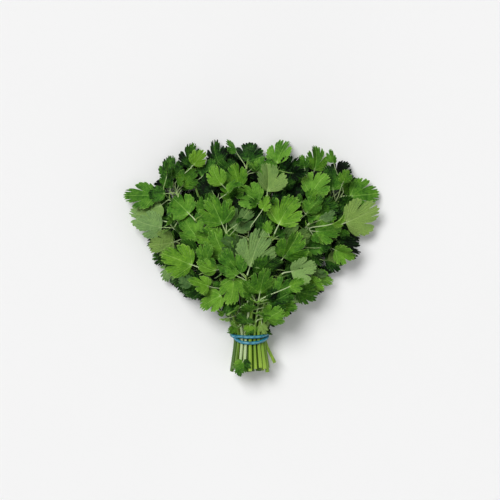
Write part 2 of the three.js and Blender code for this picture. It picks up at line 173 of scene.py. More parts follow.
# Sprigs that lie on the surface: the same without a height, with one pair of side leaflets.
UNDERSIDE = (
    (-88, 46, -70, 27), (-76, 4, -84, 25), (-58, 74, -28, 26), (-40, 28, -48, 26), (-22, 86, -10, 26),
    (-8, 42, -4, 26), (22, 84, 12, 26), (0, -4, 6, 25), (38, 26, 46, 26), (56, 72, 28, 26),
    (76, 4, 84, 25), (88, 46, 70, 27), (34, -32, 50, 22),
)

# ---------------------------------------------------------------- looks, in millimetres and degrees

LONG_BACKS = (3, 10, 18, 27, 38)  # how far back on a stem the long-stalked leaflets grow
LONG_SIZE = (14, 23)
LONG_STALK = (15, 28)
LONG_LIFT = (6, 28)
LONG_TURN = (15, 80)
LONG_STRAY = 0.3
FILLING_TRIES = 18
NECK_LEAVES = (26, 18, 12, 8, 4, 1, -2, -4)  # how far past the neck the lowest small leaflets grow
NECK_SIZE = (9, 14)
NECK_TURN = (25, 125)
NECK_STALK = (4, 9)
NECK_LEAST = 12  # length of stem from there to the fork
# Rounds of small leaflets, each in pairs: how far back they grow, how much stem there has to be for
# that, turn, size, stalk, how far they may stray, and lift.
SMALL_ROUND = ((12, 22, 32, 43, 55, 68, 82), 1.2, (35, 85), (12, 19), (6, 13), 0.2, None)
SMALLEST_ROUND = ((5, 14, 24, 35, 47), 1.5, (20, 100), (8, 13), (5, 14), 0.3, (2, 24))
BACK_VARIES = 3  # either way from there
RAGGED = 0.7  # the least share of the heap's half width that these have to stay within
TUMBLE = 2.1  # how much more than the large leaflets these are turned
# Leaflets tucked in low down: X and Y of the root, size, heading, rise, roll and how far they hang.
TUCKED = (
    (-11, -92, 15, 168, 26, 12, 60), (-5.5, -94, 12, 214, 30, -20, 55), (-9, -99, 9, 190, 24, 25, 40),
    (-18, -61, 11, 196, 4, -22, 30), (-1, -60, 11, 192, 12, -14, 22), (4, -59, 12, 166, 10, 24, 24),
    (8, -61, 11, 206, 8, -24, 24), (12, -60, 10, 152, 6, 26, 30), (2, -64, 9, 228, 14, 18, 18),
)
TUCKED_POINTS = 5  # of a stem's line, from its cut end, that these grow on
SMALL_LEAFLET = 18.5  # below this length, a leaflet has fewer teeth
FOLDS = (50, 40, 31, 22, 14, 9)  # ways to fold a leaflet along its midrib, the sharpest first
LEAST_FOLD = 0.6  # a leaflet folds by this share of them, or more
FOLD_UP_SHARE = 0.72  # of the leaflets, and the others fold down
TURNED_SHARE = 0.07  # of the leaflets lie face down
CLEAR_ABOVE = range(3, 25, 3)  # nothing more grows this far above a leaflet that shows
HIGHER = 1  # a leaflet that covers another one is at least this much higher
# How leaflets differ. Droops and swings are in degrees, waves in radians for each lobe, and the
# rest are shares.
WIDTHS, DROOPS, CURLS, CUPS = (0.9, 1.08), (-14, 56), (-0.3, 0.17), (-0.05, 0.15)
RUFFLES, WAVES, TWISTS, SWINGS, RELIEFS = (0.03, 0.08), (2.5, 6), (-0.38, 0.38), (-12, 12), (0.6, 1.2)
CALM_LYING, CALM_SHOWN = 0.15, 0.4  # how much of that the leaflets have that lie flat, or show most
LYING_RELIEF = 0.4  # how much of their relief those that lie flat have
CREASE, CREASE_DEPTH = 0.6, 0.77  # how round a fold is along the midrib
FOLD_EASES = 0.35  # how much softer it is at the blade's edge
LIT_SHOWN, LIT_HIGH, LIT_LESS = 0.5, 0.28, 0.15  # painted light and shade: a leaflet's tone from how much it shows, and its height
TONE_VARIES = (0.32, 0.22)

# Leaflets that show: whether each lies face down, and its tone from dark to bright.
FEATURED = {
    ("sprig_01", 1): (True, 0.8), ("sprig_02", 0): (True, 0.9), ("sprig_24", 0): (True, 0.75),
    ("sprig_32", 0): (True, 0.95), ("sprig_07", 0): (False, 0.75), ("sprig_27", 0): (False, 0.78),
    ("sprig_37", 0): (False, 0.7), ("sprig_31", 0): (False, 0.6), ("sprig_01", 0): (False, 0.6),
    ("sprig_02", 1): (True, 0.8), ("sprig_28", 0): (False, 0.6),
}
SUNLIT = 46  # height at which leaflets get all their painted light
DEEPEST = -0.1  # the darkest tone, painted shade included, that a leaflet can have
RIM_LIGHT = 0.2  # how much brighter leaflets are at the heap's rim
# Places on a leaflet, as shares of its length, that are looked at to tell how much of it shows.
SHOWN_AT = ((0.25, 0), (0.5, -0.3), (0.5, 0), (0.5, 0.3), (0.8, -0.25), (0.8, 0.25), (0.95, 0))
CURL_SHADE = 1.1  # how much brighter a lobe is that curls up, and darker one that curls down
EDGE_SHADE = 0.12

BLADE_THICKNESS = 0.32
LOWEST = 0.05  # above the surface
HIGHEST = 57.5
PLEAT = 0.013  # how deep the folds between the small veins are, for each millimetre of length
LEAF_RINGS = (0, 0.2, 0.42, 0.64, 0.84, 1)  # rings of a blade's mesh, from its root to its rim
TEETH_FROM = 0.84  # the ring inside the teeth
ENVELOPE = (  # how far the rim is from the root, at each angle from the midrib
    (0, 1.0), (10, 0.98), (24, 0.88), (38, 0.76), (52, 0.66), (64, 0.56), (76, 0.43), (88, 0.22),
)
BLADE_EDGE = 88  # the same angle at the outer teeth
CLEFT_HALF = 2.4  # half the angle across the clefts between the lobes
SHOULDER = 12  # the lobes are rounded off this near to a cleft
SHOULDER_DROP = 0.22  # by this share of their reach, at the cleft itself
TOOTH_RISE, TOOTH_TOP = 0.36, 0.7  # where a tooth is longest, as shares of its width
TOOTH_DROP, TOOTH_SLANT = 0.02, 0.04  # how much shorter at the second, and away from its part's middle
SPLIT_VARIES, BITE_VARIES, CLEFT_VARIES = (0.7, 1.25), (0.7, 1.3), (0.85, 1.15)  # in depth, as shares

# Kinds of leaflet: teeth in each part of the three lobes, angle of the clefts, their depth, reach of
# the lobes, bite between two teeth and between two parts. The last three are small leaflets.
LEAFLETS = (
    (((3, 3), (2, 3, 2), (3, 3)), 24, 0.48, (1.0, 1.0, 1.0), 0.09, 0.22),
    (((2, 3, 2), (2, 4, 2), (3, 2)), 23, 0.55, (1.06, 1.0, 0.95), 0.1, 0.25),
    (((3, 2), (3, 3, 3), (2, 3, 2)), 28, 0.42, (0.95, 0.98, 1.06), 0.085, 0.2),
    (((3, 4), (3, 3, 2), (4, 3)), 26, 0.52, (1.0, 1.0, 1.08), 0.08, 0.24),
    (((2, 3, 2), (3, 3), (2, 2, 2)), 22, 0.46, (1.08, 0.97, 0.96), 0.11, 0.28),
    (((2, 2), (2, 3), (2, 2)), 24, 0.48, (1.0, 1.0, 1.0), 0.13, 0.24),
    (((2, 2), (1, 3, 1), (2, 2)), 27, 0.55, (0.97, 1.0, 1.05), 0.14, 0.26),
    (((2, 1), (2, 2), (2, 2)), 22, 0.42, (1.05, 1.0, 0.92), 0.12, 0.22),
)
SMALL_KINDS = (5, 6, 7)
MAIN_VEIN = 0.022  # half widths of the veins, as shares of a lobe and of a tooth
SMALL_VEIN = 0.085

STEM_TONES = ((-13.2, 0.12), (-9.6, 0.16), (-9, 0.85), (-3.4, 0.8), (-2.6, 0.42), (13.2, 0.46))  # by X
STEM_VARIES = 0.24
STEM_SHADE = 1.2  # how much darker the stems are in the middle of the bundle
STEM_GIRTH = (0.78, 1.28)
STRAY_END = (5.6, 2, -1)
STEM_SIDES = 16
STEM_RIB = 0.2  # depth of the grooves, as a share of the radius
STEM_POINTS = 29
STALK_RADIUS = 0.58
STALK_INSIDE = 0.1  # how far a stalk runs on under its blade, as a share of the blade
STALK_UNDER = 0.12  # and how far below it
STALK_POINTS = 9
STALK_TIP = 0.34  # its radius at the blade
STALK_LEAVE, STALK_ARRIVE = 0.4, 0.55  # how straight a stalk starts and ends, as shares of its length
CUT_RIM, CUT_PITH, CUT_HOLLOW = 0.22, 0.3, 0.004  # rings of a cut end, and how hollow it is
STEM_THINS_AT = (0, 0.16, 1)  # where it has its three radii, as shares of its length
BAND_STEPS = 240
BAND_SIDES = 14
BAND_WIDE = 1.08  # the band's section is a little wider than it is thick
BAND_FLAT = 0.94
BAND_PRESSED = 0.62  # where one winding crosses the other
BAND_CROSSED = 0.85  # half the distance between them there
BAND_CROSSES = 5  # the crossing takes one part in this many of a turn, on each side
BAND_TIGHT = 0.1  # between the band and the stems
BAND_UP = 3  # nearer to the neck
PLAN_FITS = 3  # how far a sprig of the plan may differ from the frame's

# Patches of noise in a metre of each finish.
LEAF_PATCHES, LEAF_PUCKER, LEAF_MOTTLE = 110, 520, 1100
STEM_STREAKS, STEM_FINE, PITH_CELLS, PITH_PATCHES = 500, 1800, 2600.0, 700
BAND_DUST, FLOOR_CLOUD, FLOOR_FINE = 2500, 6, 300
BAND_LINES_ROUND, BAND_LINES_LONG = 9.0, 60.0  # of the band's streaks, round it and along it

VEIN_CORE = 0.3  # a vein is at its full colour over this share of its width
TOOTH_VEIN = 0.53  # where the small vein runs in its tooth
# A leaflet's vein strength, roughness and how pale the tips of its teeth are.
UPPER_FINISH = (0.6, 0.5, 0.6)
UNDER_FINISH = (0.65, 0.55, 0.2)
# What a colour is multiplied by for specks, paler veins, shaded stems and the painted shade in their
# grooves.
SPECK_TINT, VEIN_TINT = (1.7, 1.5, 1.4), (2.6, 2.1, 2.6)
SHADE_TINT, GROOVE_SHADE_TINT = (0.2, 0.3, 0.1), (0.22, 0.34, 0.16)
CELL_WALL = (0.2, 0.27, 0.1)  # colour of the lines between the cells of a cut end
FLOOR_CLOUDED = 0.985  # brightness of the floor's darker clouds, against the rest

FLOOR_SIZE = 8.0  # of the stage, in metres
LEAVES_Z = 0.03
VIEW_MIDDLE = (-0.0017, 0.0039)
SENSOR_WIDTH = 36  # of the camera, in millimetres
FARTHEST = 20  # that it sees, in metres
# Where each light comes from, and how wide it is, in degrees.
KEY_LIGHT = (30, (-1.1, 1.35, 2.9))
FILL_LIGHT = (60, (1.6, -1.6, 1.6))
FRONT_LIGHT = (40, (-0.6, -3, 0.9))
ROOM_WHITE, BACKDROP_WHITE = (1, 1, 1, 1), (0.97, 0.98, 1, 1)


class Draw:
    """Random numbers that are the same each time."""

    def __init__(self, state):
        self.state = state

    def __call__(self, low, high):
        self.state = (self.state * 48271) % 2147483647
        return low + (high - low) * self.state / 2147483647


draw = Draw(3)  # of the plan, drawn in the frame's own order


def unit(v):
    return v / math.sqrt(float(v @ v))


def heap_height(x, y):
    bulge = 1 - (x / HEAP_X) ** 2 - ((y - HEAP_MIDDLE_Y) / HEAP_Y) ** 2
    return HEAP_RIM + HEAP_RISE * max(0, bulge)


def outline_at(y):
    for (y0, x0), (y1, x1) in zip(OUTLINE, OUTLINE[1:]):
        if y0 <= y <= y1:
            return x0 + (x1 - x0) * (y - y0) / (y1 - y0)
    return 0


# ---------------------------------------------------------------- room between pieces


class Shape:
    """A convex shape that other pieces stay clear of: a flat blade, or a straight length of stem."""

    def __init__(self, points, radius, owner):
        points = np.array(points)
        count = len(points)
        self.radius, self.owner, self.blade = radius, owner, count > 2
        self.middle = points.mean(axis=0)
        sides = np.roll(points, -1, axis=0) - points
        sides /= np.linalg.norm(sides, axis=1)[:, None]
        if count == 2:
            sides = sides[:1]
        self.normal = unit(np.cross(sides[0], sides[1])) if self.blade else np.zeros(3)
        self.reach = np.linalg.norm(points - self.middle, axis=1).max() + radius
        self.points = np.vstack([points, np.repeat(points[-1:], CORNERS - count, axis=0)])
        self.edges = np.vstack([sides, np.zeros((CORNERS - len(sides), 3))])
        self.rims = np.cross(self.normal, self.edges)


class Room:
    """Every blade, stalk and length of stem so far, in arrays."""

    FIELDS = ("middle", "reach", "radius", "points", "edges", "rims", "normal", "owner", "blade")

    def __init__(self):
        self.shapes = []
        self.arrays = None

    def add(self, *shapes):
        self.shapes.extend(shapes)
        self.arrays = None

    def remove(self, shape):
        self.shapes.remove(shape)
        self.arrays = None

    def table(self):
        if self.arrays is None:
            self.arrays = {f: np.array([getattr(s, f) for s in self.shapes]) for f in self.FIELDS}
        return self.arrays

    def is_clear(self, shape, gap, spared=None):
        """True if some plane parts the shape from every other one but those that are spared."""
        if not self.shapes:
            return True
        table = self.table()
        apart = table["middle"] - shape.middle
        near = (apart * apart).sum(axis=1) <= (table["reach"] + shape.reach + gap) ** 2
        if spared is not None:
            near &= ~spared(table)
        other = {f: table[f][near] for f in self.FIELDS}
        apart = apart[near]
        for axes_of in (face_axes, edge_axes):
            if not len(apart):
                return True
            axes = axes_of(shape, other, apart)
            between = gaps_along(axes, shape.points, other["points"])
            close = ~(between > shape.radius + other["radius"] + gap)
            other = {f: other[f][close] for f in self.FIELDS}
            apart = apart[close]
        return not len(apart)


def crossed(a, b):
    """Cross products of arrays of vectors."""
    ax, ay, az = a[..., 0], a[..., 1], a[..., 2]
    bx, by, bz = b[..., 0], b[..., 1], b[..., 2]
    return np.stack([ay * bz - az * by, az * bx - ax * bz, ax * by - ay * bx], axis=-1)


def face_axes(shape, other, apart):
    """The directions square to the faces and sides of a shape and its neighbours."""
    if shape.blade:
        own = np.vstack([shape.normal, shape.rims])
        own = np.broadcast_to(own, (len(apart), *own.shape))
    else:
        along = shape.edges[0]
        own = (apart - np.outer(apart @ along, along))[:, None, :]
    first = other["edges"][:, 0]
    aside = apart - (apart * first).sum(axis=1)[:, None] * first
    flat = np.where(other["blade"][:, None], other["normal"], aside)
    return np.concatenate([apart[:, None, :], own, flat[:, None, :], other["rims"]], axis=1)


def edge_axes(shape, other, apart):
    """The directions square to an edge of the shape and an edge of its neighbour."""
    mine = shape.edges if shape.blade else shape.edges[:1]
    axes = crossed(mine[None, :, None, :], other["edges"][:, None, :, :])
    return axes.reshape(len(apart), -1, 3)


def gaps_along(axes, mine, theirs):
    """The widest gap between a shape and each neighbour, over all the axes."""
    size = np.sqrt((axes * axes).sum(axis=2))
    own = axes @ mine.T
    others = axes @ theirs.transpose(0, 2, 1)
    gap = np.maximum(others.min(axis=2) - own.max(axis=2), own.min(axis=2) - others.max(axis=2))
    return np.where(size < 1e-3, -np.inf, gap / np.maximum(size, 1e-3)).max(axis=1)


room = Room()

# ---------------------------------------------------------------- stems


def bundle_places():
    """Places of the stems in the bundle at the band, ring by ring."""
    places = []
    for ring, count in enumerate(RINGS):
        share = ring / (len(RINGS) - 1)
        for i in range(count):
            turn = (i + 0.5 * (ring % 2)) / count * 2 * math.pi
            places.append((BUNDLE_X + BUNDLE_HALF_WIDTH * share * math.sin(turn),
                           BUNDLE_Z + BUNDLE_HALF_HEIGHT * share * math.cos(turn)))
    return places


class Sprig:
    """One stem with its leaflets. The fork is where the end leaflet's stalk leaves the stem."""

    def __init__(self, owner, x, y, share, heading, size, pairs, flat):
        back = size / 2 + END_STALK
        z = FLAT_FORK_Z if flat else max(LEAST_FORK_Z, share * heap_height(x, y) - FORK_SUNK)
        turn = math.radians(heading)
        self.owner, self.share, self.heading, self.size = owner, share, heading, size
        self.pairs, self.flat, self.leaves = pairs, flat, []
        self.fork = np.array([x - back * math.sin(turn), y - back * math.cos(turn), z])
        self.node = f"sprig_{owner + 1:02d}"


def planned_sprigs():
    rows = [(*row, False) for row in CROWN]
    rows += [(x, y, 0, heading, size, 1, True) for x, y, heading, size in UNDERSIDE]
    return [Sprig(owner, *row) for owner, row in enumerate(rows)]


def share_out_places(sprigs):
    """Sprigs that fan out to the left take the left stems, and the high ones the high stems."""
    def rounded(value):
        return math.floor(value * 1000 + 0.5)

    across = sorted(sprigs, key=lambda s: math.atan2(s.fork[0] - BUNDLE_X, s.fork[1] - NECK_Y))
    places = sorted(bundle_places(), key=lambda place: rounded(place[0]))
    for i in range(0, len(across), COLUMN):
        some = sorted(across[i:i + COLUMN], key=lambda s: s.fork[2] - AHEAD_IS_LOW * s.fork[1])
        free = sorted(places[i:i + COLUMN], key=lambda place: rounded(place[1]))
        for sprig, place in zip(some, free):
            sprig.place = place


def stem_line(sprig, bow, steps):
    """Middle line of a stem: from its cut end through the band, then in one bend to its fork."""
    x, z = sprig.place
    turn = math.radians(sprig.heading)
    cut = np.array([BUNDLE_X + (x - BUNDLE_X) * CUT_FLARE, sprig.cut_y, z])
    neck = np.array([BUNDLE_X + (x - BUNDLE_X) * NECK_FLARE, NECK_Y, z])
    away = unit(sprig.fork - neck)
    arrive = unit(np.array([away[0] + math.sin(turn), away[1] + math.cos(turn),
                            0 if sprig.flat else ARRIVE_RISE * away[2]]))
    span = math.sqrt(float(((sprig.fork - neck) ** 2).sum()))
    leave = unit(np.array([(x - BUNDLE_X) * NECK_SPREAD + bow[0], 1,
                           (z - BUNDLE_Z) * NECK_SPREAD * NECK_RISE + bow[1]]))
    lift = 0 if sprig.flat else bow[1] * BOW_LIFT
    first = neck + leave * span * LEAVE_PULL
    last = sprig.fork - arrive * span * ARRIVE_PULL
    last[2] = FLAT_STEM_Z if sprig.flat else last[2] + (CORE_Z - last[2]) * SINK + lift
    line = [cut, np.array([x, BAND_Y - TIED, z]), np.array([x, BAND_Y + TIED, z])]
    for i in range(steps + 1):
        t = i / steps
        s = 1 - t
        line.append(neck * s ** 3 + first * 3 * s * s * t + last * 3 * s * t * t + sprig.fork * t ** 3)
    return np.array(line)


def bows():
    """Ways to bend a stem's route aside, the straightest first."""
    yield 0, 0
    for i in range(BOWS):
        size = BOW_LEAST + BOW_STEP * i
        yield size * math.sin(i * BOW_TURN), size * math.cos(i * BOW_TURN)


def grow_stem(sprig):
    """The straightest route that leaves the other stems and the surface clear."""
    sprig.cut_y = CUT_Y + draw(-CUT_RAGGED, CUT_RAGGED)
    for bow in bows():
        line = stem_line(sprig, bow, BEND_STEPS)
        thin = (RADIUS_FORK - RADIUS_BAND) / (len(line) - 3)
        radii = [RADIUS_BAND + thin * max(0, i - 2) for i in range(len(line))]
        radii[0] = RADIUS_CUT
        if min(point[2] - radius for point, radius in zip(line, radii)) < 0:
            continue
        lengths = [Shape(line[i:i + 2], (radii[i] + radii[i + 1]) / 2, sprig.owner)
                   for i in range(len(line) - 1)]
        if all(room.is_clear(length, STEM_GAP) for length in reversed(lengths)):
            sprig.bow, sprig.line = bow, line
            room.add(*lengths)
            return
    raise RuntimeError(f"the stem of {sprig.node} has no clear route")


# ---------------------------------------------------------------- leaflets


class Leaf:
    """A leaflet's size and frame: from its root, along it, across it and out of its upper face."""

    def __init__(self, sprig, size, stalk, root, heading, rise, roll):
        self.sprig, self.size, self.stalk, self.root = sprig, size, stalk, np.array(root, float)
        self.lies, self.hang = False, 0
        h, r, o = math.radians(heading), math.radians(rise), math.radians(roll)
        level = np.array([math.cos(h), -math.sin(h), 0])
        self.along = np.array([math.sin(h) * math.cos(r), math.cos(h) * math.cos(r), math.sin(r)])
        up = np.cross(level, self.along)
        self.across = level * math.cos(o) - up * math.sin(o)
        self.out = up * math.cos(o) + level * math.sin(o)

    def at(self, t, s, h=0):
        return self.root + self.along * t + self.across * s + self.out * h

    def outline(self):
        right = [(self.stalk + t * self.size, w * self.size * LEAF_WIDTH) for t, w in BLADE]
        left = [(t, -w) for t, w in right[-2::-1]]
        return [self.at(t, s) for t, s in right + left]


def slope_at(sprig, root, heading):
    """Tilt of the heap's surface, softer low down in it."""
    x, y, step = root[0], root[1], SLOPE_STEP
    steep = SLOPE_KEPT * sprig.share
    sx = (heap_height(x + step, y) - heap_height(x - step, y)) / (2 * step) * steep
    sy = (heap_height(x, y + step) - heap_height(x, y - step)) / (2 * step) * steep
    s, c = math.sin(math.radians(heading)), math.cos(math.radians(heading))
    edge = min(1, abs(x) / SIDE_X) ** 3 * SIDE_DROOP
    return (math.degrees(math.atan(sx * s + sy * c)) - edge,
            math.degrees(math.atan(-sx * c + sy * s)))


def back_along(line, distance):
    """Point and heading on the stem, this far back from its fork."""
    left = distance
    for i in range(len(line) - 1, 0, -1):
        step = line[i - 1] - line[i]
        size = math.sqrt(float(step @ step))
        if left <= size:
            return line[i] + step * (left / size), math.degrees(math.atan2(-step[0], -step[1]))
        left -= size
    raise ValueError("a leaflet's place is past the cut end of its stem")


class Wish:
    """Where a leaflet should grow: how far back on the stem, on which side, and how turned. It may
    stray further back by a share of that distance, and be lifted, and tumble more than most."""

    def __init__(self, back, side, turn, size, stalk, stray=0.7, lift=0, tumble=1):
        self.back, self.side, self.turn, self.size, self.stalk = back, side, turn, size, stalk
        self.stray, self.lift, self.tumble = stray, lift, tumble


def try_leaf(sprig, wish, wild):
    """One place for a leaflet, further from its usual place the wilder it is, or None."""
    at, stem_heading = back_along(sprig.line, wish.back * (1 + wish.stray * wild * draw(0, 1)))
    base = stem_heading + wish.side * wish.turn if wish.side else sprig.heading
    heading = base + draw(-HEADING_VARIES, HEADING_VARIES) * (1 + WILD_HEADING * wild)
    size = wish.size * (1 - SHRINK * wild) * draw(*SIZE_VARIES)
    stalk = wish.stalk * draw(STALK_VARIES[0], STALK_VARIES[1] + WILD_STALK * wild)
    if sprig.flat and at[2] < LYING_ROOT:
        leaf = Leaf(sprig, size, stalk, (at[0], at[1], PLATE_THICKNESS / 2), heading, 0, 0)
        leaf.lies = True
    else:
        rise, roll = slope_at(sprig, at, heading)
        rise += draw(-RISE_VARIES, RISE_VARIES) * (1 + WILD_RISE * wild) * wish.tumble + wish.lift
        roll += draw(-ROLL_VARIES, ROLL_VARIES) * (1 + wild) * wish.tumble
        leaf = Leaf(sprig, size, stalk, at, heading, rise, roll)
    corners = leaf.outline()
    floor = PLATE_THICKNESS / 2 + SURFACE_GAP
    rim = 1 if wish.tumble == 1 else draw(RAGGED, 1)
    if not leaf.lies and not all(abs(p[0]) < rim * outline_at(p[1]) and p[2] > floor for p in corners):
        return None
    if wish.lift and max(p[2] for p in corners) > HIGHEST:
        return None
    owner = sprig.owner
    leaf.blade = Shape(corners, LEAF_PAD, owner)
    leaf.foot = Shape([leaf.at(0, 0), leaf.at(stalk + 2, 0)], STALK_WIDTH / 2, owner)
    if not room.is_clear(leaf.blade, LEAST_GAP, lambda t: (t["owner"] == owner) & ~t["blade"]):
        return None
    return leaf if room.is_clear(leaf.foot, LEAST_GAP, lambda t: t["owner"] == owner) else None


def grow_leaf(sprig, wish, tries=TRIES):
    for attempt in range(tries):
        leaf = try_leaf(sprig, wish, attempt / tries)
        if leaf:
            room.add(leaf.blade, leaf.foot)
            sprig.leaves.append(leaf)
            return


def grow_bunch():
    """All sprigs, with the leaflets that the frame has, in the frame's own order."""
    sprigs = planned_sprigs()
    share_out_places(sprigs)
    for sprig in sorted(sprigs, key=lambda s: s.fork[2]):
        grow_stem(sprig)
    for sprig in sprigs:
        grow_leaf(sprig, Wish(0, 0, 0, sprig.size, END_STALK))
    for pair in (1, 2, 3):
        back = PAIR_STEP * pair - PAIR_STEP / 2
        for sprig in sprigs:
            if sprig.pairs >= pair:
                size = sprig.size * (FIRST_PAIR if pair == 1 else OTHER_PAIRS)
                for side in (-1, 1):
                    grow_leaf(sprig, Wish(back, side, draw(*PAIR_TURN), size, 6 + 3 * pair))
    return sprigs


def plan_box(sprig):
    """Lowest and highest corner of a sprig as the frame has it, before the plan is moved."""
    points = [sprig.line[1:]]
    for leaf in sprig.leaves:
        corners = np.array(leaf.outline())
        points += [corners + leaf.out * PLATE_THICKNESS / 2, corners - leaf.out * PLATE_THICKNESS / 2]
    points = np.vstack(points)
    return points.min(axis=0), points.max(axis=0)


def grow_round(sprigs, backs, spare, turn, size, stalk, stray, lift):
    """Pairs of small leaflets, back along every stem that is long enough for them."""
    for back in backs:
        for sprig in sprigs:
            if back * spare < length_beyond(sprig.line, NECK_Y):
                for side in (-1, 1):
                    wish = Wish(back + draw(-BACK_VARIES, BACK_VARIES), side, draw(*turn), draw(*size),
                                draw(*stalk), stray, draw(*lift) if lift else 0, TUMBLE)
                    grow_leaf(sprig, wish, FILLING_TRIES)


def grow_filling(sprigs):
    """Leaflets on long stalks above the others, and small ones in the room that those leave."""
    standing = [sprig for sprig in sprigs if not sprig.flat]
    for back in LONG_BACKS:
        for sprig in standing:
            side = -1 if draw(0, 1) < 0.5 else 1
            wish = Wish(back, side, draw(*LONG_TURN), draw(*LONG_SIZE), draw(*LONG_STALK), LONG_STRAY,
                        draw(*LONG_LIFT), TUMBLE)
            grow_leaf(sprig, wish, FILLING_TRIES)
    grow_round(standing, *SMALL_ROUND)
    for ahead in NECK_LEAVES:
        for sprig in standing:
            back = length_beyond(sprig.line, NECK_Y + ahead)
            if back > NECK_LEAST:
                side = 1 if sprig.place[0] > BUNDLE_X else -1
                wish = Wish(back, side, draw(*NECK_TURN), draw(*NECK_SIZE), draw(*NECK_STALK), 0, 0, TUMBLE)
                grow_leaf(sprig, wish, FILLING_TRIES)
    grow_round(standing, *SMALLEST_ROUND)


def keep_clear_above(sprigs):
    """Nothing more grows above the leaflets that show."""
    for sprig in sprigs:
        for i, leaf in enumerate(sprig.leaves):
            if (sprig.node, i) in FEATURED:
                for lift in CLEAR_ABOVE:
                    room.add(Shape([p + (0, 0, lift) for p in leaf.outline()], LEAF_PAD, sprig.owner))


def tuck_leaves(sprigs):
    """Small leaflets low on the stems on top of the bundle, over the cut ends and before the band."""
    for x, y, size, heading, rise, roll, hang in TUCKED:
        sprig = max(sprigs, key=lambda s: s.place[1] - abs(s.place[0] - x))
        low = np.array(sprig.line[:TUCKED_POINTS])
        root = [np.interp(y, low[:, 1], low[:, i]) for i in range(3)]
        leaf = Leaf(sprig, size, 4, root, heading, rise, roll)
        leaf.hang = hang
        leaf.blade = Shape(leaf.outline(), LEAF_PAD, sprig.owner)
        room.add(leaf.blade)
        sprig.leaves.append(leaf)


def length_beyond(line, y):
    """How much of a stem lies past this Y."""
    steps = np.linalg.norm(np.diff(line, axis=0), axis=1)
    middles = (line[1:, 1] + line[:-1, 1]) / 2
    return float(steps[middles > y].sum())


def folded_halves(leaf, fold):
    """The two halves of a blade folded up along its midrib by this many degrees."""
    turn = math.radians(fold)
    halves = []
    for side in (-1, 1):
        corners = [(leaf.stalk + t * leaf.size, w * leaf.size * LEAF_WIDTH) for t, w in BLADE]
        corners = [leaf.at(t, side * w * math.cos(turn), w * math.sin(turn)) for t, w in corners]
        corners.append(leaf.at(leaf.stalk + BLADE[0][0] * leaf.size, 0))
        halves.append(Shape(corners, LEAF_PAD, leaf.sprig.owner))
    return halves


def fold_leaves(sprigs):
    """Each leaflet folds as far as its neighbours leave it room to, so that no blade stays flat."""
    for sprig in sprigs:
        for leaf in sprig.leaves:
            owner, own = sprig.owner, leaf.blade
            room.remove(own)
            wanted = draw(LEAST_FOLD, 1) * (1 if leaf.lies or draw(0, 1) < FOLD_UP_SHARE else -1)
            for fold in FOLDS:
                leaf.fold = fold * wanted
                halves = folded_halves(leaf, leaf.fold)
                if all(min(p[2] for p in half.points) > 0 and room.is_clear(
                        half, LEAST_GAP, lambda t: (t["owner"] == owner) & ~t["blade"]) for half in halves):
                    break
            room.add(*halves)


def mark_shown(sprigs):
    """How much of each leaflet is seen from above, and not under another one."""
    leaves = [leaf for sprig in sprigs for leaf in sprig.leaves]
    outlines = np.array([leaf.outline() for leaf in leaves])
    corners, heights = outlines[:, :, :2], outlines[:, :, 2].mean(axis=1)
    edges = np.roll(corners, -1, axis=1) - corners
    for leaf, height in zip(leaves, heights):
        above = heights > height + HIGHER
        seen = 0
        for t, s in SHOWN_AT:
            away = leaf.at(leaf.stalk + t * leaf.size, s * leaf.size)[:2] - corners[above]
            turn = edges[above][..., 0] * away[..., 1] - edges[above][..., 1] * away[..., 0]
            seen += not ((turn > 0).all(axis=1) | (turn < 0).all(axis=1)).any()
        leaf.shown = seen / len(SHOWN_AT)


# ---------------------------------------------------------------- meshes


def deselect():
    for thing in bpy.context.selected_objects:
        thing.select_set(False)


def pick(thing):
    """Only this object is selected and active."""
    deselect()
    thing.select_set(True)
    bpy.context.view_layer.objects.active = thing


def coordinates(mesh):
    flat = np.empty(len(mesh.vertices) * 3)
    mesh.vertices.foreach_get("co", flat)
    return flat.reshape(-1, 3)


def place(mesh, points):
    mesh.vertices.foreach_set("co", np.ascontiguousarray(points, np.float32).ravel())
    mesh.update()


def set_values(mesh, name, values):
    """A number for each vertex, kept under a name that the materials read."""
    kept = mesh.attributes.get(name) or mesh.attributes.new(name, "FLOAT", "POINT")
    kept.data.foreach_set("value", np.broadcast_to(values, len(mesh.vertices)).astype(np.float32))


def values_of(mesh, name):
    values = np.empty(len(mesh.vertices), np.float32)
    mesh.attributes[name].data.foreach_get("value", values)
    return values.astype(float)


def unit_grid(name, columns, rows):
    """A flat grid one unit wide and long, with its corner at the origin, and its UV map named grain."""
    deselect()
    bpy.ops.mesh.primitive_grid_add(x_subdivisions=columns, y_subdivisions=rows, size=1, location=(0, 0, 0))
    grid = bpy.context.object
    grid.name = grid.data.name = name
    grid.data.uv_layers[0].name = "grain"
    points = coordinates(grid.data)
    points[:, :2] += 0.5
    place(grid.data, points)
    return grid


def merge_doubles(thing, distance):
    pick(thing)
    bpy.ops.object.mode_set(mode="EDIT")
    bpy.ops.mesh.select_all(action="SELECT")
    bpy.ops.mesh.remove_doubles(threshold=distance)
    bpy.ops.mesh.normals_make_consistent(inside=False)
    bpy.ops.object.mode_set(mode="OBJECT")


def select_where(thing, wanted):
    """In edit mode, only the vertices whose place passes the test are selected."""
    bpy.ops.mesh.select_mode(type="VERT")
    bpy.ops.mesh.select_all(action="DESELECT")
    shape = bmesh.from_edit_mesh(thing.data)
    for vertex in shape.verts:
        vertex.select = wanted(vertex.co)
    shape.select_flush(True)
    bmesh.update_edit_mesh(thing.data)


# ---------------------------------------------------------------- a leaflet


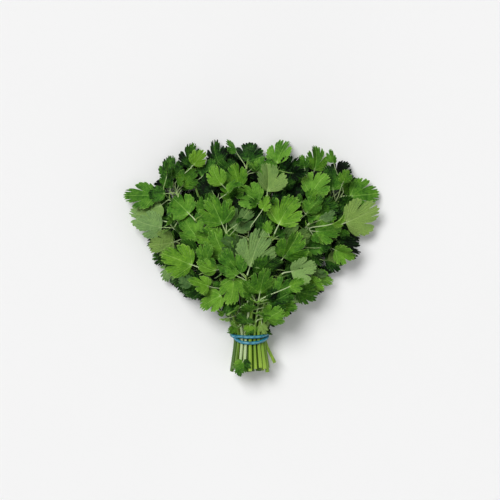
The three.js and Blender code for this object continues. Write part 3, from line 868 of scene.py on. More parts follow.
class Blade:
    """Outline of one kind of leaflet about the root of its blade: lobes, their parts and their teeth."""

    def __init__(self, parts, cleft, depth, side_reach, bite, split, seed):
        vary = Draw(seed)
        self.cleft, self.rows = cleft, []  # a row is an angle, reach inside the teeth, reach, lobe, tooth
        spans = ((-BLADE_EDGE, -cleft - CLEFT_HALF), (-cleft + CLEFT_HALF, cleft - CLEFT_HALF),
                 (cleft + CLEFT_HALF, BLADE_EDGE))
        tooth = 0
        for lobe, (span, counts) in enumerate(zip(spans, parts)):
            total, done = sum(counts), 0
            for part, count in enumerate(counts):
                for i in range(count):
                    between = i == 0 and part
                    notch = split * vary(*SPLIT_VARIES) if between else bite * vary(*BITE_VARIES)
                    slant = TOOTH_SLANT * (2 * abs((i + 0.5) / count - 0.5) if count > 1 else 0)
                    for share, cut in ((0, notch), (TOOTH_RISE, slant), (TOOTH_TOP, TOOTH_DROP + slant)):
                        self.add(span, lobe, (done + share) / total, side_reach[lobe], cut, tooth + share)
                    done += 1
                    tooth += 1
            self.add(span, lobe, 1, side_reach[lobe], bite, tooth)
            if lobe < 2:
                angle = (span[1] + spans[lobe + 1][0]) / 2
                low = (1 - depth * vary(*CLEFT_VARIES)) * self.envelope(angle)
                self.rows.append((angle, low, low, lobe + 1, tooth))

    @staticmethod
    def envelope(angle):
        return float(np.interp(abs(angle), *zip(*ENVELOPE)))

    def add(self, span, lobe, share, reach, cut, tooth):
        angle = span[0] + (span[1] - span[0]) * share
        shoulder = max(0, 1 - abs(abs(angle) - self.cleft) / SHOULDER) ** 2
        reach *= self.envelope(angle) * (1 - SHOULDER_DROP * shoulder)
        edge = reach * (1 - cut)
        self.rows.append((angle, min(reach, edge / (TEETH_FROM + 0.06)), edge, lobe + share, tooth))


def leaflet_master(name, blade, rings, materials):
    """A flat leaflet one unit long and one unit thick: +Y along it, +Z out of its upper face."""
    angles, full, cut, lobes, teeth = np.array(blade.rows).T
    leaf = unit_grid(name, len(angles) - 1, len(rings) - 1)
    mesh = leaf.data
    points = coordinates(mesh)
    spoke = np.rint(points[:, 0] * (len(angles) - 1)).astype(int)
    ring = np.array(rings)[np.rint(points[:, 1] * (len(rings) - 1)).astype(int)]
    toothed = np.clip((ring - TEETH_FROM) / (1 - TEETH_FROM), 0, 1)
    reach = ring * full[spoke] + toothed * (cut[spoke] - full[spoke])
    turn = np.radians(angles[spoke])
    place(mesh, np.column_stack([reach * np.sin(turn), reach * np.cos(turn), np.zeros(len(turn))]))
    set_values(mesh, "reach", ring)
    set_values(mesh, "tooth", teeth[spoke])
    set_values(mesh, "lobe", lobes[spoke])
    corners = np.empty(len(mesh.loops), int)
    mesh.loops.foreach_get("vertex_index", corners)
    grain = np.column_stack([lobes[spoke][corners], ring[corners]])
    mesh.uv_layers["grain"].data.foreach_set("uv", grain.astype(np.float32).ravel())
    merge_doubles(leaf, 1e-5)
    if mesh.polygons[0].normal.z < 0:
        mesh.flip_normals()
    for material in materials:
        mesh.materials.append(material)
    solid = leaf.modifiers.new("thickness", "SOLIDIFY")
    solid.thickness, solid.offset = 1, 0
    solid.material_offset = 1
    pick(leaf)
    bpy.ops.object.modifier_apply(modifier=solid.name)
    bpy.ops.object.shade_smooth_by_angle(angle=math.radians(40))
    return leaf


def leaflet(master, leaf, shift, looks):
    """A copy of a master, folded, drooping and ruffled, on its stalk."""
    mesh = master.data.copy()
    flat = coordinates(mesh)
    tooth, lobe = values_of(mesh, "tooth"), values_of(mesh, "lobe")
    radius = np.hypot(flat[:, 0], flat[:, 1])
    s, t = flat[:, 0] * leaf.size * looks.width, flat[:, 1] * leaf.size
    bend = math.radians(looks.droop / leaf.size or 0.001)
    ahead, height = np.sin(bend * t) / bend, (np.cos(bend * t) - 1) / bend
    fold = math.radians(leaf.fold) * (1 - FOLD_EASES * np.clip(np.abs(s) / (0.5 * leaf.size), 0, 1))
    height += (np.sqrt(s ** 2 + CREASE) - CREASE_DEPTH) * np.sin(fold)
    s = s * np.cos(fold)
    aside = 2 * np.abs(lobe % 1 - 0.5)
    curl = np.interp(lobe, (0.5, 1.5, 2.5), looks.curls)
    height += leaf.size * radius ** 2 * curl
    height += leaf.size * radius * aside ** 2 * looks.cup
    height += leaf.size * radius ** 3 * looks.ruffle * np.sin(lobe * looks.waves + looks.phase)
    height += looks.twist * flat[:, 0] * t
    height -= PLEAT * leaf.size * radius * np.cos(2 * math.pi * (tooth - 0.5)) * looks.relief
    around = np.radians(looks.swing) * flat[:, 1] ** 2
    s, ahead = s * np.cos(around) + ahead * np.sin(around), ahead * np.cos(around) - s * np.sin(around)
    points = (leaf.root + np.outer(leaf.stalk + ahead, leaf.along) + np.outer(s, leaf.across)
              + np.outer(height, leaf.out))
    points[:, 2] = np.clip(points[:, 2], LOWEST + BLADE_THICKNESS / 2, HIGHEST)
    thick = np.outer(flat[:, 2] * BLADE_THICKNESS, leaf.out)
    place(mesh, (points + thick + shift) * MM)
    # Painted shade: lobes that curl down and the sides of each lobe are darker, and lobes that curl up are
    # brighter.
    set_values(mesh, "tone", looks.tone + radius * (CURL_SHADE * curl - EDGE_SHADE * aside))
    set_values(mesh, "warmth", looks.warmth)
    if looks.turned:
        swap_faces(mesh)
    return mesh


def swap_faces(mesh):
    """The leaflet lies face down, so its underside shows."""
    index = np.empty(len(mesh.polygons), int)
    mesh.polygons.foreach_get("material_index", index)
    mesh.polygons.foreach_set("material_index", 1 - index)


class Looks:
    """What makes one leaflet differ from the next."""

    def __init__(self, leaf, shows):
        self.turned = draw(0, 1) < TURNED_SHARE
        calm = CALM_LYING if leaf.lies else CALM_SHOWN if shows else 1
        self.width = draw(*WIDTHS)
        self.droop = draw(*DROOPS) * calm + leaf.hang
        self.curls = [draw(*CURLS) * calm for _ in range(3)]
        self.cup = draw(*CUPS) * calm
        self.ruffle = draw(*RUFFLES) * calm
        self.waves = draw(*WAVES)
        self.phase = draw(0, 6.28)
        self.twist = draw(*TWISTS) * calm
        self.swing = draw(*SWINGS)
        self.relief = draw(*RELIEFS) * (LYING_RELIEF if leaf.lies else 1)
        # Painted light and shade: leaflets that others cover, or that lie low in the heap, are darker, and
        # those near the heap's rim are brighter.
        x, y, z = (float(v) for v in leaf.at(leaf.stalk + leaf.size / 2, 0))
        rim = 1 - (heap_height(x, y) - HEAP_RIM) / HEAP_RISE
        lit = LIT_SHOWN * leaf.shown + LIT_HIGH * min(1, z / SUNLIT) + RIM_LIGHT * rim - LIT_LESS
        vary = sum(draw(-size, size) for size in TONE_VARIES) * (0.3 + 0.75 * leaf.shown)
        self.tone = min(1, max(DEEPEST, lit + vary))
        self.warmth = draw(0, 1)
        if shows:
            self.turned, self.tone = shows


# ---------------------------------------------------------------- stems and stalks


def tube_master(name, sides, rings, rib, materials):
    """A closed rod one unit long and one in radius along +Z, with ribs, and a hollow in its cut end."""
    rod = unit_grid(name, sides, rings)
    points = coordinates(rod.data)
    side = np.rint(points[:, 0] * sides).astype(int) % sides
    turn = -2 * math.pi * side / sides
    radius = 1 - rib * (side % 2)
    place(rod.data, np.column_stack([radius * np.cos(turn), radius * np.sin(turn), points[:, 1]]))
    merge_doubles(rod, 1e-4)
    for material in materials:
        rod.data.materials.append(material)
    bpy.ops.object.mode_set(mode="EDIT")
    select_where(rod, lambda co: co.z > 1 - 1e-5)
    bpy.ops.mesh.edge_face_add()
    select_where(rod, lambda co: co.z < 1e-5)
    bpy.ops.mesh.edge_face_add()
    rod.active_material_index = len(materials) - 1
    bpy.ops.object.material_slot_assign()
    bpy.ops.mesh.inset(thickness=CUT_RIM, depth=0)
    bpy.ops.mesh.inset(thickness=CUT_PITH, depth=0)
    bpy.ops.transform.translate(value=(0, 0, CUT_HOLLOW))
    bpy.ops.mesh.select_all(action="SELECT")
    bpy.ops.mesh.normals_make_consistent(inside=False)
    bpy.ops.object.mode_set(mode="OBJECT")
    pick(rod)
    bpy.ops.object.shade_smooth_by_angle(angle=math.radians(50))
    return rod


def swept(master, line, radii, shift, upward=(0, 0, 1)):
    """A copy of a rod, led along a line, with a radius for each of the line's points."""
    mesh = master.data.copy()
    flat = coordinates(mesh)
    line = np.array(line)
    steps = np.linalg.norm(np.diff(line, axis=0), axis=1)
    along = np.concatenate([[0], np.cumsum(steps)]) / steps.sum()
    share = np.clip(flat[:, 2], 0, 1)
    middle = np.column_stack([np.interp(share, along, line[:, i]) for i in range(3)])
    radius = np.interp(share, along, radii)
    heading = np.gradient(line, along, axis=0)
    heading = np.column_stack([np.interp(share, along, heading[:, i]) for i in range(3)])
    heading /= np.linalg.norm(heading, axis=1)[:, None]
    aside = crossed(np.broadcast_to(np.array(upward, float), heading.shape), heading)
    aside /= np.linalg.norm(aside, axis=1)[:, None]
    over = crossed(heading, aside)
    points = middle + (aside * flat[:, :1] + over * flat[:, 1:2]) * radius[:, None]
    points[:, 2] = np.maximum(points[:, 2], LOWEST)
    place(mesh, (points + shift) * MM)
    return mesh


def smooth(line, times):
    """The line with its corners eased, and its ends kept."""
    for _ in range(times):
        line = np.vstack([line[:1], (line[:-2] + 2 * line[1:-1] + line[2:]) / 4, line[-1:]])
    return line


def stem_route(sprig):
    """The stem's middle line with its points evenly spaced. The outermost one strays at its cut end."""
    line = stem_line(sprig, sprig.bow, 24)
    if sprig.place[0] - BUNDLE_X > 0.99 * BUNDLE_HALF_WIDTH:
        line[0] += STRAY_END
    steps = np.linalg.norm(np.diff(line, axis=0), axis=1)
    along = np.concatenate([[0], np.cumsum(steps)])
    even = np.linspace(0, along[-1], STEM_POINTS)
    line = np.column_stack([np.interp(even, along, line[:, i]) for i in range(3)])
    return smooth(line, 2)


def stalk_route(leaf, stem_heading):
    """From inside the stem, leaving along it, to just inside the blade."""
    start = leaf.root
    end = leaf.at(leaf.stalk + STALK_INSIDE * leaf.size, 0, -STALK_UNDER)
    first = start + stem_heading * (STALK_LEAVE * leaf.stalk)
    last = leaf.at(leaf.stalk * STALK_ARRIVE, 0)
    share = np.linspace(0, 1, STALK_POINTS)[:, None]
    return (start * (1 - share) ** 3 + first * 3 * share * (1 - share) ** 2
            + last * 3 * share ** 2 * (1 - share) + end * share ** 3)


def heading_at(line, point):
    """The stem's own direction where a stalk leaves it."""
    nearest = int(np.argmin(((line - point) ** 2).sum(axis=1)))
    nearest = min(max(nearest, 1), len(line) - 2)
    return unit(line[nearest + 1] - line[nearest - 1])


# ---------------------------------------------------------------- elastic band


def band_line(count):
    """Middle line of the band, the way out from the bundle, and how thick the band is on that way."""
    line, outward, thick = [], [], []
    for i in range(count + 1):
        turn = 4 * math.pi * i / count  # from the left side over the top
        rounds = turn / (2 * math.pi)
        whole = math.floor(rounds + 0.5)
        near = min(abs(rounds - whole) * BAND_CROSSES, 1)  # 0 at the crossing
        winding = 1 if whole % 2 == 0 else -1
        across = winding if rounds >= whole else -winding
        swing = near * near * (3 - 2 * near) * math.pi / 2
        top = max(0, math.sin(turn))
        beside = BAND_BESIDE + (BAND_PARTED - BAND_BESIDE) * top * top
        over = math.cos(swing) * winding * BAND_CROSSED
        clear = RADIUS_BAND + BAND_TIGHT + BAND_RADIUS + over + abs(math.cos(swing)) * BAND_CROSSED
        line.append((BUNDLE_X - (BUNDLE_HALF_WIDTH + clear) * math.cos(turn),
                     BAND_Y + BAND_UP - BAND_TILT * math.sin(turn) + math.sin(swing) * across * beside,
                     BUNDLE_Z + (BUNDLE_HALF_HEIGHT + clear) * math.sin(turn)))
        outward.append((-math.cos(turn), 0, math.sin(turn)))
        thick.append(BAND_FLAT + (BAND_PRESSED - BAND_FLAT) * math.cos(swing))
    return np.array(line), np.array(outward), np.array(thick)


def band_mesh(master, shift):
    """The band's rod, closed on itself and pressed a little flat against the stems."""
    mesh = master.data
    flat = coordinates(mesh)
    line, outward, thick = band_line(BAND_STEPS)
    step = np.rint(flat[:, 2] * BAND_STEPS).astype(int)
    heading = np.roll(line[:-1], -1, axis=0) - np.roll(line[:-1], 1, axis=0)
    heading = np.vstack([heading, heading[:1]])
    out = outward[step]
    beside = crossed(heading[step], out)
    beside /= np.linalg.norm(beside, axis=1)[:, None]
    over = out * flat[:, 1:2] * thick[step][:, None]
    points = line[step] + BAND_RADIUS * (beside * flat[:, :1] * BAND_WIDE + over)
    place(mesh, (points + shift) * MM)


# ---------------------------------------------------------------- finishes


def put(owner, kind, links=None, **settings):
    """A shader node, with its settings, and each input linked to a socket or given a value."""
    node = owner.node_tree.nodes.new("ShaderNode" + kind)
    for name, value in settings.items():
        setattr(node, name, value)
    for name, value in (links or {}).items():
        if isinstance(value, bpy.types.NodeSocket):
            owner.node_tree.links.new(value, node.inputs[name])
        else:
            node.inputs[name].default_value = value
    return node


def paint(colour):
    """A colour as a node takes it, or the socket that it comes from."""
    return colour if isinstance(colour, bpy.types.NodeSocket) else (*colour[:3], 1)


class Finish:
    """A material and the nodes that it is built up from. Most methods give the socket they make."""

    def __init__(self, name):
        self.material = bpy.data.materials.new(name)
        self.material.use_nodes = True
        self.shader = self.material.node_tree.nodes["Principled BSDF"]

    def put(self, kind, links=None, **settings):
        return put(self.material, kind, links, **settings)

    def read(self, name):
        return self.put("Attribute", attribute_name=name).outputs["Fac"]

    def maths(self, operation, a, b=0.0, clamp=False):
        return self.put("Math", {0: a, 1: b}, operation=operation, use_clamp=clamp).outputs[0]

    def add(self, a, b, clamp=False):
        return self.maths("ADD", a, b, clamp)

    def times(self, a, b):
        return self.maths("MULTIPLY", a, b)

    def away_from(self, value, middle):
        """How far the value is from the middle, either way."""
        return self.maths("ABSOLUTE", self.maths("SUBTRACT", value, middle))

    def past(self, value, middle, strength):
        """What the value is above the middle, times the strength."""
        return self.times(self.maths("SUBTRACT", value, middle), strength)

    def step(self, value, low, high):
        """0 below low and 1 above high, or the other way round where low is the larger."""
        return self.put("MapRange", {"Value": value, "From Min": low, "From Max": high},
                        interpolation_type="SMOOTHSTEP").outputs["Result"]

    def mix(self, factor, a, b, blend="MIX"):
        sides = {0: factor, 6: paint(a), 7: paint(b)}
        return self.put("Mix", sides, data_type="RGBA", blend_type=blend).outputs[2]

    def tinted(self, colour, tint):
        return self.mix(1.0, colour, tint, "MULTIPLY")

    def ramp(self, factor, stops):
        node = self.put("ValToRGB", {"Fac": factor})
        elements = node.color_ramp.elements
        while len(elements) < len(stops):
            elements.new(0.5)
        for element, (at, colour) in zip(elements, stops):
            element.position, element.color = at, paint(colour)
        return node.outputs["Color"]

    def noise(self, scale, detail, stretch=(1, 1, 1)):
        spot = self.put("TexCoord").outputs["Object"]
        spot = self.put("Mapping", {"Vector": spot, "Scale": stretch}).outputs["Vector"]
        return self.put("TexNoise", {"Vector": spot, "Scale": scale, "Detail": detail,
                                     "Roughness": 0.55}).outputs["Fac"]

    def grain(self):
        """The piece's own two coordinates."""
        spot = self.put("UVMap", uv_map="grain").outputs["UV"]
        parts = self.put("SeparateXYZ", {0: spot})
        return parts.outputs["X"], parts.outputs["Y"]

    def coat(self, colour, roughness, relief=None, strength=0.0, depth=0.0):
        """Joins what was built to the surface, with its relief this deep, and gives the material."""
        bump = None
        if relief:
            bump = self.put("Bump", {"Height": relief, "Strength": strength, "Distance": depth})
            bump = bump.outputs["Normal"]
        for name, value in (("Base Color", colour), ("Roughness", roughness), ("Normal", bump)):
            if isinstance(value, bpy.types.NodeSocket):
                self.material.node_tree.links.new(value, self.shader.inputs[name])
            elif value is not None:
                self.shader.inputs[name].default_value = value
        return self.material


def vein_lines(leaf):
    """1 on a main vein of a lobe, 1 on the small vein of a tooth, and how far a spot is out from the
    root and aside in its tooth."""
    lobe, reach = leaf.grain()
    aside = leaf.away_from(leaf.maths("FRACT", lobe), 0.5)
    main = leaf.step(leaf.times(aside, reach), MAIN_VEIN, MAIN_VEIN * VEIN_CORE)
    aside = leaf.away_from(leaf.maths("FRACT", leaf.read("tooth")), TOOTH_VEIN)
    small = leaf.step(leaf.times(aside, reach), SMALL_VEIN, SMALL_VEIN * VEIN_CORE)
    return main, leaf.times(small, leaf.step(reach, 0.25, 0.6)), reach, aside


def leaf_finish(name, shades, warm, vein, vein_strength, roughness, rim):
    leaf = Finish(name)
    main, small, reach, aside = vein_lines(leaf)
    patches = leaf.noise(LEAF_PATCHES, 4)
    mottle = leaf.noise(LEAF_MOTTLE, 3)
    pucker = leaf.noise(LEAF_PUCKER, 2)
    tone = leaf.add(leaf.read("tone"), leaf.past(patches, 0.5, 1.0))
    tone = leaf.add(tone, leaf.past(pucker, 0.5, 0.5))
    # Painted shade: darker along the small veins, in the furrows of the pleats, and lighter on the ridges
    # between them.
    tone = leaf.add(tone, leaf.times(leaf.past(aside, 0.25, 0.55), reach), clamp=True)
    colour = leaf.ramp(tone, shades)
    colour = leaf.mix(leaf.times(leaf.read("warmth"), 0.6), colour, leaf.tinted(colour, warm))
    speck = leaf.times(leaf.step(mottle, 0.4, 0.75), 0.35)
    colour = leaf.mix(speck, colour, leaf.tinted(colour, SPECK_TINT))
    # The pale vein colour dims with the leaflet's tone, painted shade included.
    vein = leaf.mix(leaf.times(tone, 0.62), leaf.tinted(colour, VEIN_TINT), vein)
    tips = leaf.times(leaf.step(reach, 0.91, 1.0), rim)
    root = leaf.times(leaf.step(reach, 0.25, 0.02), 0.6)
    small_veins, main_veins = leaf.times(small, vein_strength * 0.75), leaf.times(main, vein_strength)
    for share in (tips, root, small_veins, main_veins):
        colour = leaf.mix(share, colour, vein)
    rough = leaf.add(roughness, leaf.past(mottle, 0.5, 0.25))
    relief = leaf.add(leaf.times(main, -0.5), leaf.times(small, -0.4))
    relief = leaf.add(relief, leaf.times(mottle, 0.5))
    relief = leaf.add(relief, leaf.times(pucker, 1.6))
    leaf.shader.inputs["Specular IOR Level"].default_value = 0.1
    return leaf.coat(colour, rough, relief, 0.8, 0.0008)


def stem_finish(name, colours):
    stem = Finish(name)
    around, along = stem.grain()
    streaks = stem.noise(STEM_STREAKS, 3, (1, 0.06, 1))
    fine = stem.noise(STEM_FINE, 2, (1, 0.1, 1))
    stops = ((0, colours.stem_base), (0.3, colours.stem_middle), (0.85, colours.stem_top))
    colour = stem.ramp(along, stops)
    tone = stem.add(stem.read("tone"), stem.past(streaks, 0.5, 0.5), clamp=True)
    colour = stem.mix(stem.step(tone, 0.45, 0.05), colour, stem.tinted(colour, SHADE_TINT))
    colour = stem.mix(stem.step(tone, 0.55, 0.95), colour, colours.stem_pale)
    # Painted shade in the grooves between the stem's ribs.
    rib = stem.away_from(stem.maths("FRACT", stem.times(around, STEM_SIDES / 2)), 0.5)
    groove_shade = stem.times(stem.step(rib, 0.25, 0.05), 0.8)
    colour = stem.mix(groove_shade, colour, stem.tinted(colour, GROOVE_SHADE_TINT))
    rough = stem.add(0.34, stem.times(fine, 0.15))
    return stem.coat(colour, rough, stem.add(fine, streaks), 0.25, 0.0002)


def cut_finish(name, colours):
    """The fresh cut across a stem: pale pith inside a greener skin."""
    pith = Finish(name)
    spot = pith.put("TexCoord").outputs["Object"]
    cells = pith.put("TexVoronoi", {"Vector": spot, "Scale": PITH_CELLS},
                     feature="DISTANCE_TO_EDGE").outputs["Distance"]
    patches = pith.noise(PITH_PATCHES, 3)
    colour = pith.mix(pith.step(patches, 0.4, 0.7), colours.cut, colours.stem_middle)
    colour = pith.mix(pith.step(cells, 0.12, 0.0), colour, CELL_WALL)
    return pith.coat(colour, 0.3, cells, 0.4, 0.0002)


def elastic_finish(name, colours):
    band = Finish(name)
    around, along = band.grain()
    spot = band.put("CombineXYZ", {0: band.times(around, BAND_LINES_ROUND),
                                   1: band.times(along, BAND_LINES_LONG)}).outputs[0]
    lines = band.put("TexNoise", {"Vector": spot, "Scale": 1.0, "Detail": 3.0}).outputs["Fac"]
    dust = band.noise(BAND_DUST, 2)
    colour = band.mix(band.step(lines, 0.35, 0.7), colours.elastic_dark, colours.elastic)
    colour = band.mix(band.times(band.step(dust, 0.6, 0.8), 0.35), colour, colours.elastic_dust_and_highlight)
    # Painted highlight: a pale line along the outer side of each strand.
    outside = band.step(band.away_from(around, 0.75), 0.09, 0.0)
    painted_highlight = band.times(outside, band.step(lines, 0.3, 0.6))
    colour = band.mix(band.times(painted_highlight, 0.6), colour, colours.elastic_dust_and_highlight)
    rough = band.add(0.34, band.times(dust, 0.2))
    return band.coat(colour, rough, band.add(dust, lines), 0.3, 0.0002)


def floor_finish(name, colours):
    floor = Finish(name)
    clouded = [c * FLOOR_CLOUDED for c in colours.floor]
    colour = floor.mix(floor.noise(FLOOR_CLOUD, 3), colours.floor, clouded)
    return floor.coat(colour, floor.add(0.75, floor.times(floor.noise(FLOOR_FINE, 2), 0.15)))


# ---------------------------------------------------------------- settings


def colour_setting(name, default, description):
    return bpy.props.FloatVectorProperty(name=name, description=description, size=3, subtype="COLOR",
                                         min=0, max=1, default=default)


class CorianderColours(bpy.types.PropertyGroup):
    """Colours of the bunch and its floor, as linear light."""

    # The leaf colours from deep to bright are picked by each leaflet's tone. The deepest is painted shade
    # for leaflets deep in the heap, and the dark and bright ones hold painted shade and light as well as
    # each leaflet's own tone. The underside colours are picked the same way.
    leaf_deep_shade: colour_setting("Leaf, deep", (0.001, 0.006, 0.001), "Leaflets deep in the heap")
    leaf_dark_and_shaded: colour_setting("Leaf, dark", (0.005, 0.034, 0.003), "Oldest leaflets")
    leaf_middle: colour_setting("Leaf", (0.045, 0.168, 0.012), "Most leaflets")
    leaf_bright_and_lit: colour_setting("Leaf, bright", (0.15, 0.37, 0.035), "Youngest leaflets")
    leaf_warm: colour_setting("Leaf, warm tint", (1.0, 0.88, 0.3), "Yellower light through some leaflets")
    under_dark: colour_setting("Underside, dark", (0.05, 0.13, 0.04), "Shaded undersides")
    under_middle: colour_setting("Underside", (0.14, 0.27, 0.09), "Most undersides")
    under_bright: colour_setting("Underside, bright", (0.22, 0.39, 0.12), "Palest undersides")
    vein: colour_setting("Veins", (0.38, 0.60, 0.17), "Veins and the tips of the teeth")
    stem_base: colour_setting("Stem at the cut", (0.41, 0.61, 0.07), "Lower end of a stem")
    stem_middle: colour_setting("Stem", (0.27, 0.47, 0.038), "Middle of a stem")
    stem_top: colour_setting("Stem at the leaves", (0.20, 0.36, 0.07), "Upper end of a stem")
    stem_pale: colour_setting("Stem, pale", (0.66, 0.79, 0.44), "Thick whitish stems and small stalks")
    cut: colour_setting("Cut end", (0.62, 0.68, 0.38), "Pith of a cut stem")
    elastic: colour_setting("Elastic", (0.012, 0.28, 0.40), "The band")
    elastic_dark: colour_setting("Elastic, dark", (0.005, 0.12, 0.19), "Grooves of the band")
    # Pale dust specks on the band, and its painted highlight.
    elastic_dust_and_highlight: colour_setting("Elastic, pale", (0.25, 0.5, 0.62), "Bloom on the band")
    floor: colour_setting("Floor", (0.93, 0.93, 0.93), "The plain surface under the bunch")


class CorianderStudio(bpy.types.PropertyGroup):
    """Camera and light around the bunch."""

    distance: bpy.props.FloatProperty(name="Camera height", default=2.0, unit="LENGTH",
                                      description="How far the camera is above the surface")
    width: bpy.props.FloatProperty(name="View width", default=0.45, unit="LENGTH",
                                   description="Width of the view at the leaves")
    key: bpy.props.FloatProperty(name="Key light", default=2.25,
                                 description="Main light, from beyond the leaves on the left")
    fill: bpy.props.FloatProperty(name="Fill light", default=0.45,
                                  description="Wide light from the right of the cut ends")
    front: bpy.props.FloatProperty(name="Front light", default=0.45,
                                   description="Low light towards the cut ends")
    sky: bpy.props.FloatProperty(name="Room light", default=0.25, description="Light from all around")
    wall: bpy.props.FloatProperty(name="Backdrop", default=0.94, description="Brightness behind the floor")


# ---------------------------------------------------------------- operators

kept = {}  # the sprigs, their shift and the masters, once they are made


def grown():
    """The sprigs, grown once and kept, and the way from the plan to the frame."""
    if "sprigs" not in kept:
        sprigs = grow_bunch()
        gaps = []
        for sprig in sprigs:
            corner = np.array(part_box(sprig.node)[1]) / MM
            gaps.append(corner - plan_box(sprig)[1])
        shift = np.median(gaps, axis=0)
        if np.abs(np.array(gaps) - shift).max() > PLAN_FITS:
            raise RuntimeError("the plan of the bunch isn't the frame's")
        tuck_leaves(sprigs)
        keep_clear_above(sprigs)
        grow_filling(sprigs)
        fold_leaves(sprigs)
        mark_shown(sprigs)
        kept["sprigs"], kept["shift"] = sprigs, shift
    return kept["sprigs"], kept["shift"]


class CORIANDER_OT_masters(bpy.types.Operator):
    """Make one of each kind of leaflet, and the ribbed rods that stems and stalks are copied from"""

    bl_idname = "coriander.masters"
    bl_label = "Leaflet and stem masters"

    def execute(self, context):
        colours = context.scene.coriander_colours
        # Ramps of painted shade and light, each leaflet's own tone included: from deep shade to lit
        # leaflets, and the same for undersides.
        greens = ((0.0, colours.leaf_deep_shade), (0.16, colours.leaf_dark_and_shaded), (0.5, colours.leaf_middle),
                  (0.95, colours.leaf_bright_and_lit))
        pales = ((0.05, colours.under_dark), (0.5, colours.under_middle), (0.95, colours.under_bright))
        warm = colours.leaf_warm
        upper = leaf_finish("leaf_upper", greens, warm, colours.vein, *UPPER_FINISH)
        under = leaf_finish("leaf_underside", pales, warm, colours.under_bright, *UNDER_FINISH)
        stem = stem_finish("stem_skin", colours)
        cut = cut_finish("stem_cut", colours)
        blades = []
        for i, kind in enumerate(LEAFLETS):
            blade = Blade(*kind, 11 + 7 * i)
            blades.append(leaflet_master(f"master_leaflet_{i + 1}", blade, LEAF_RINGS, (upper, under)))
        kept["blades"] = blades
        kept["stem"] = tube_master("master_stem", STEM_SIDES, STEM_POINTS - 1, STEM_RIB, (stem, cut))
        kept["stalk"] = tube_master("master_stalk", 6, 5, 0, (stem,))
        for thing in (*blades, kept["stem"], kept["stalk"]):
            for holder in thing.users_collection:
                holder.objects.unlink(thing)
        return {"FINISHED"}


def sprig_pieces(sprig, shift):
    """The stem, then each leaflet with its stalk, as meshes."""
    route = stem_route(sprig)
    girth = draw(*STEM_GIRTH)
    share = np.linspace(0, 1, len(route))
    radii = girth * np.interp(share, STEM_THINS_AT, (RADIUS_CUT, RADIUS_BAND, RADIUS_FORK))
    x, z = sprig.place[0] - BUNDLE_X, sprig.place[1] - BUNDLE_Z
    inside = 1 - math.hypot(x / BUNDLE_HALF_WIDTH, z / BUNDLE_HALF_HEIGHT)
    tone = float(np.interp(x, *zip(*STEM_TONES)))
    tone = tone + draw(-STEM_VARIES, STEM_VARIES) - STEM_SHADE * inside
    stem = swept(kept["stem"], route, radii, shift)
    set_values(stem, "tone", tone)
    set_values(stem, "warmth", 0.5)
    yield stem
    for i, leaf in enumerate(sprig.leaves):
        looks = Looks(leaf, FEATURED.get((sprig.node, i)))
        small = leaf.size < SMALL_LEAFLET
        kinds = [kind for kind in range(len(LEAFLETS)) if (kind in SMALL_KINDS) == small]
        yield leaflet(kept["blades"][kinds[int(draw(0, len(kinds) - 1e-6))]], leaf, shift, looks)
        start = RADIUS_FORK * 0.96 if leaf.root is sprig.leaves[0].root and i == 0 else STALK_RADIUS
        route_out = stalk_route(leaf, heading_at(route, leaf.root))
        stalk = swept(kept["stalk"], route_out, np.linspace(start, STALK_TIP, STALK_POINTS), shift, leaf.out)
        # Stalks follow their leaflet's tone, painted shade and light included.
        set_values(stalk, "tone", 0.6 + 0.35 * looks.tone)
        set_values(stalk, "warmth", 0.5)
        yield stalk


class CORIANDER_OT_sprigs(bpy.types.Operator):
    """Make every sprig of the bunch: a ribbed stem with its leaflets on their stalks"""

    bl_idname = "coriander.sprigs"
    bl_label = "Sprigs"

    def execute(self, context):
        sprigs, shift = grown()
        for sprig in sprigs:
            pieces = []
            for mesh in sprig_pieces(sprig, shift):
                pieces.append(bpy.data.objects.new(f"coriander_{sprig.node}", mesh))
                context.scene.collection.objects.link(pieces[-1])
            deselect()
            for piece in pieces:
                piece.select_set(True)
            context.view_layer.objects.active = pieces[0]
            bpy.ops.object.join()
            whole = context.object
            whole.name = whole.data.name = f"coriander_{sprig.node}"
            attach(whole, BODY)
            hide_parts(sprig.node)
        return {"FINISHED"}


class CORIANDER_OT_band(bpy.types.Operator):
    """Make the elastic band, wound twice round the stems"""

    bl_idname = "coriander.band"
    bl_label = "Elastic band"

    def execute(self, context):
        shift = grown()[1]
        rod = unit_grid("coriander_band", BAND_SIDES, BAND_STEPS)
        points = coordinates(rod.data)
        turn = -2 * math.pi * points[:, 0]
        place(rod.data, np.column_stack([np.cos(turn), np.sin(turn), points[:, 1]]))
        band_mesh(rod, shift)
        merge_doubles(rod, 0.02 * MM)
        rod.data.materials.append(elastic_finish("elastic_teal", context.scene.coriander_colours))
        bpy.ops.object.shade_smooth()
        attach(rod, BODY)
        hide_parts("elastic_band")
        return {"FINISHED"}


def sun(name, strength, spread, direction):
    """Even light from this direction, as from a large soft lamp that stands far away."""
    data = bpy.data.lights.new(name, "SUN")
    data.energy, data.angle = strength, math.radians(spread)
    light = bpy.data.objects.new(name, data)
    bpy.context.scene.collection.objects.link(light)
    light.location = direction
    light.rotation_euler = Vector(direction).to_track_quat("Z", "Y").to_euler()


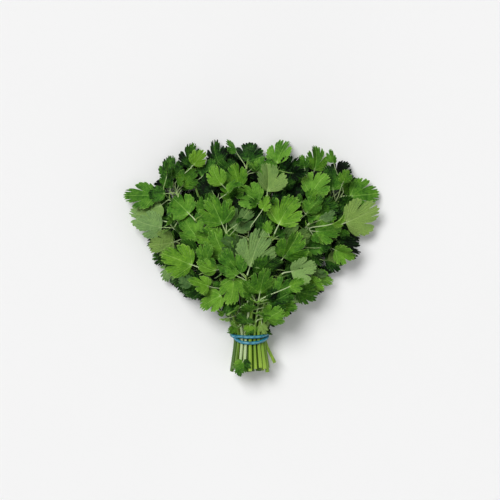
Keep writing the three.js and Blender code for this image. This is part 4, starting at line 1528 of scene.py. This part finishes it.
class CORIANDER_OT_stage(bpy.types.Operator):
    """Lay the floor, set the camera above the bunch and light it"""

    bl_idname = "coriander.stage"
    bl_label = "Stage"

    def execute(self, context):
        scene, studio = context.scene, context.scene.coriander_studio
        deselect()
        bpy.ops.mesh.primitive_plane_add(size=FLOOR_SIZE, location=(0, 0, 0))
        floor = context.object
        floor.name = floor.data.name = "floor"
        floor.data.materials.append(floor_finish("floor_pale", scene.coriander_colours))
        floor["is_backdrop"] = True

        lens = bpy.data.cameras.new("camera")
        lens.sensor_width = SENSOR_WIDTH
        lens.lens = lens.sensor_width * (studio.distance - LEAVES_Z) / studio.width
        lens.clip_end = FARTHEST
        camera = bpy.data.objects.new("camera", lens)
        scene.collection.objects.link(camera)
        camera.location = (*VIEW_MIDDLE, studio.distance)
        scene.camera = camera

        sun("key", studio.key, *KEY_LIGHT)
        sun("fill", studio.fill, *FILL_LIGHT)
        sun("front", studio.front, *FRONT_LIGHT)
        world = bpy.data.worlds.new("room")
        world.use_nodes = True
        sky = world.node_tree.nodes["Background"]
        sky.inputs["Color"].default_value = ROOM_WHITE
        sky.inputs["Strength"].default_value = studio.sky
        wall = put(world, "Background", {"Color": BACKDROP_WHITE, "Strength": studio.wall})
        seen = put(world, "LightPath").outputs["Is Camera Ray"]
        both = put(world, "MixShader", {0: seen, 1: sky.outputs[0], 2: wall.outputs[0]})
        world.node_tree.links.new(both.outputs[0], world.node_tree.nodes["World Output"].inputs["Surface"])
        scene.world = world
        scene.view_settings.view_transform = "Standard"
        return {"FINISHED"}


class CORIANDER_PT_panel(bpy.types.Panel):
    """The pieces of the bunch, in the order in which they are made"""

    bl_label = "Coriander bunch"
    bl_idname = "CORIANDER_PT_panel"
    bl_space_type = "VIEW_3D"
    bl_region_type = "UI"
    bl_category = "Coriander"

    def draw(self, context):
        for operator in OPERATORS:
            self.layout.operator(operator.bl_idname)
        for group in (context.scene.coriander_colours, context.scene.coriander_studio):
            for name in group.__annotations__:
                self.layout.prop(group, name)


OPERATORS = (CORIANDER_OT_stage, CORIANDER_OT_masters, CORIANDER_OT_sprigs, CORIANDER_OT_band)
CLASSES = (CorianderColours, CorianderStudio, *OPERATORS, CORIANDER_PT_panel)


def register():
    for cls in CLASSES:
        bpy.utils.register_class(cls)
    bpy.types.Scene.coriander_colours = bpy.props.PointerProperty(type=CorianderColours)
    bpy.types.Scene.coriander_studio = bpy.props.PointerProperty(type=CorianderStudio)


def unregister():
    del bpy.types.Scene.coriander_colours
    del bpy.types.Scene.coriander_studio
    for cls in reversed(CLASSES):
        bpy.utils.unregister_class(cls)


def main():
    register()
    bpy.ops.coriander.stage()
    bpy.ops.coriander.masters()
    bpy.ops.coriander.sprigs()
    bpy.ops.coriander.band()
    boxes = {"cad": CAD_BOX, "visual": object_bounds()}
    {name: [list(corner) for corner in box] for name, box in boxes.items()}


if __name__ == "__main__":
    main()
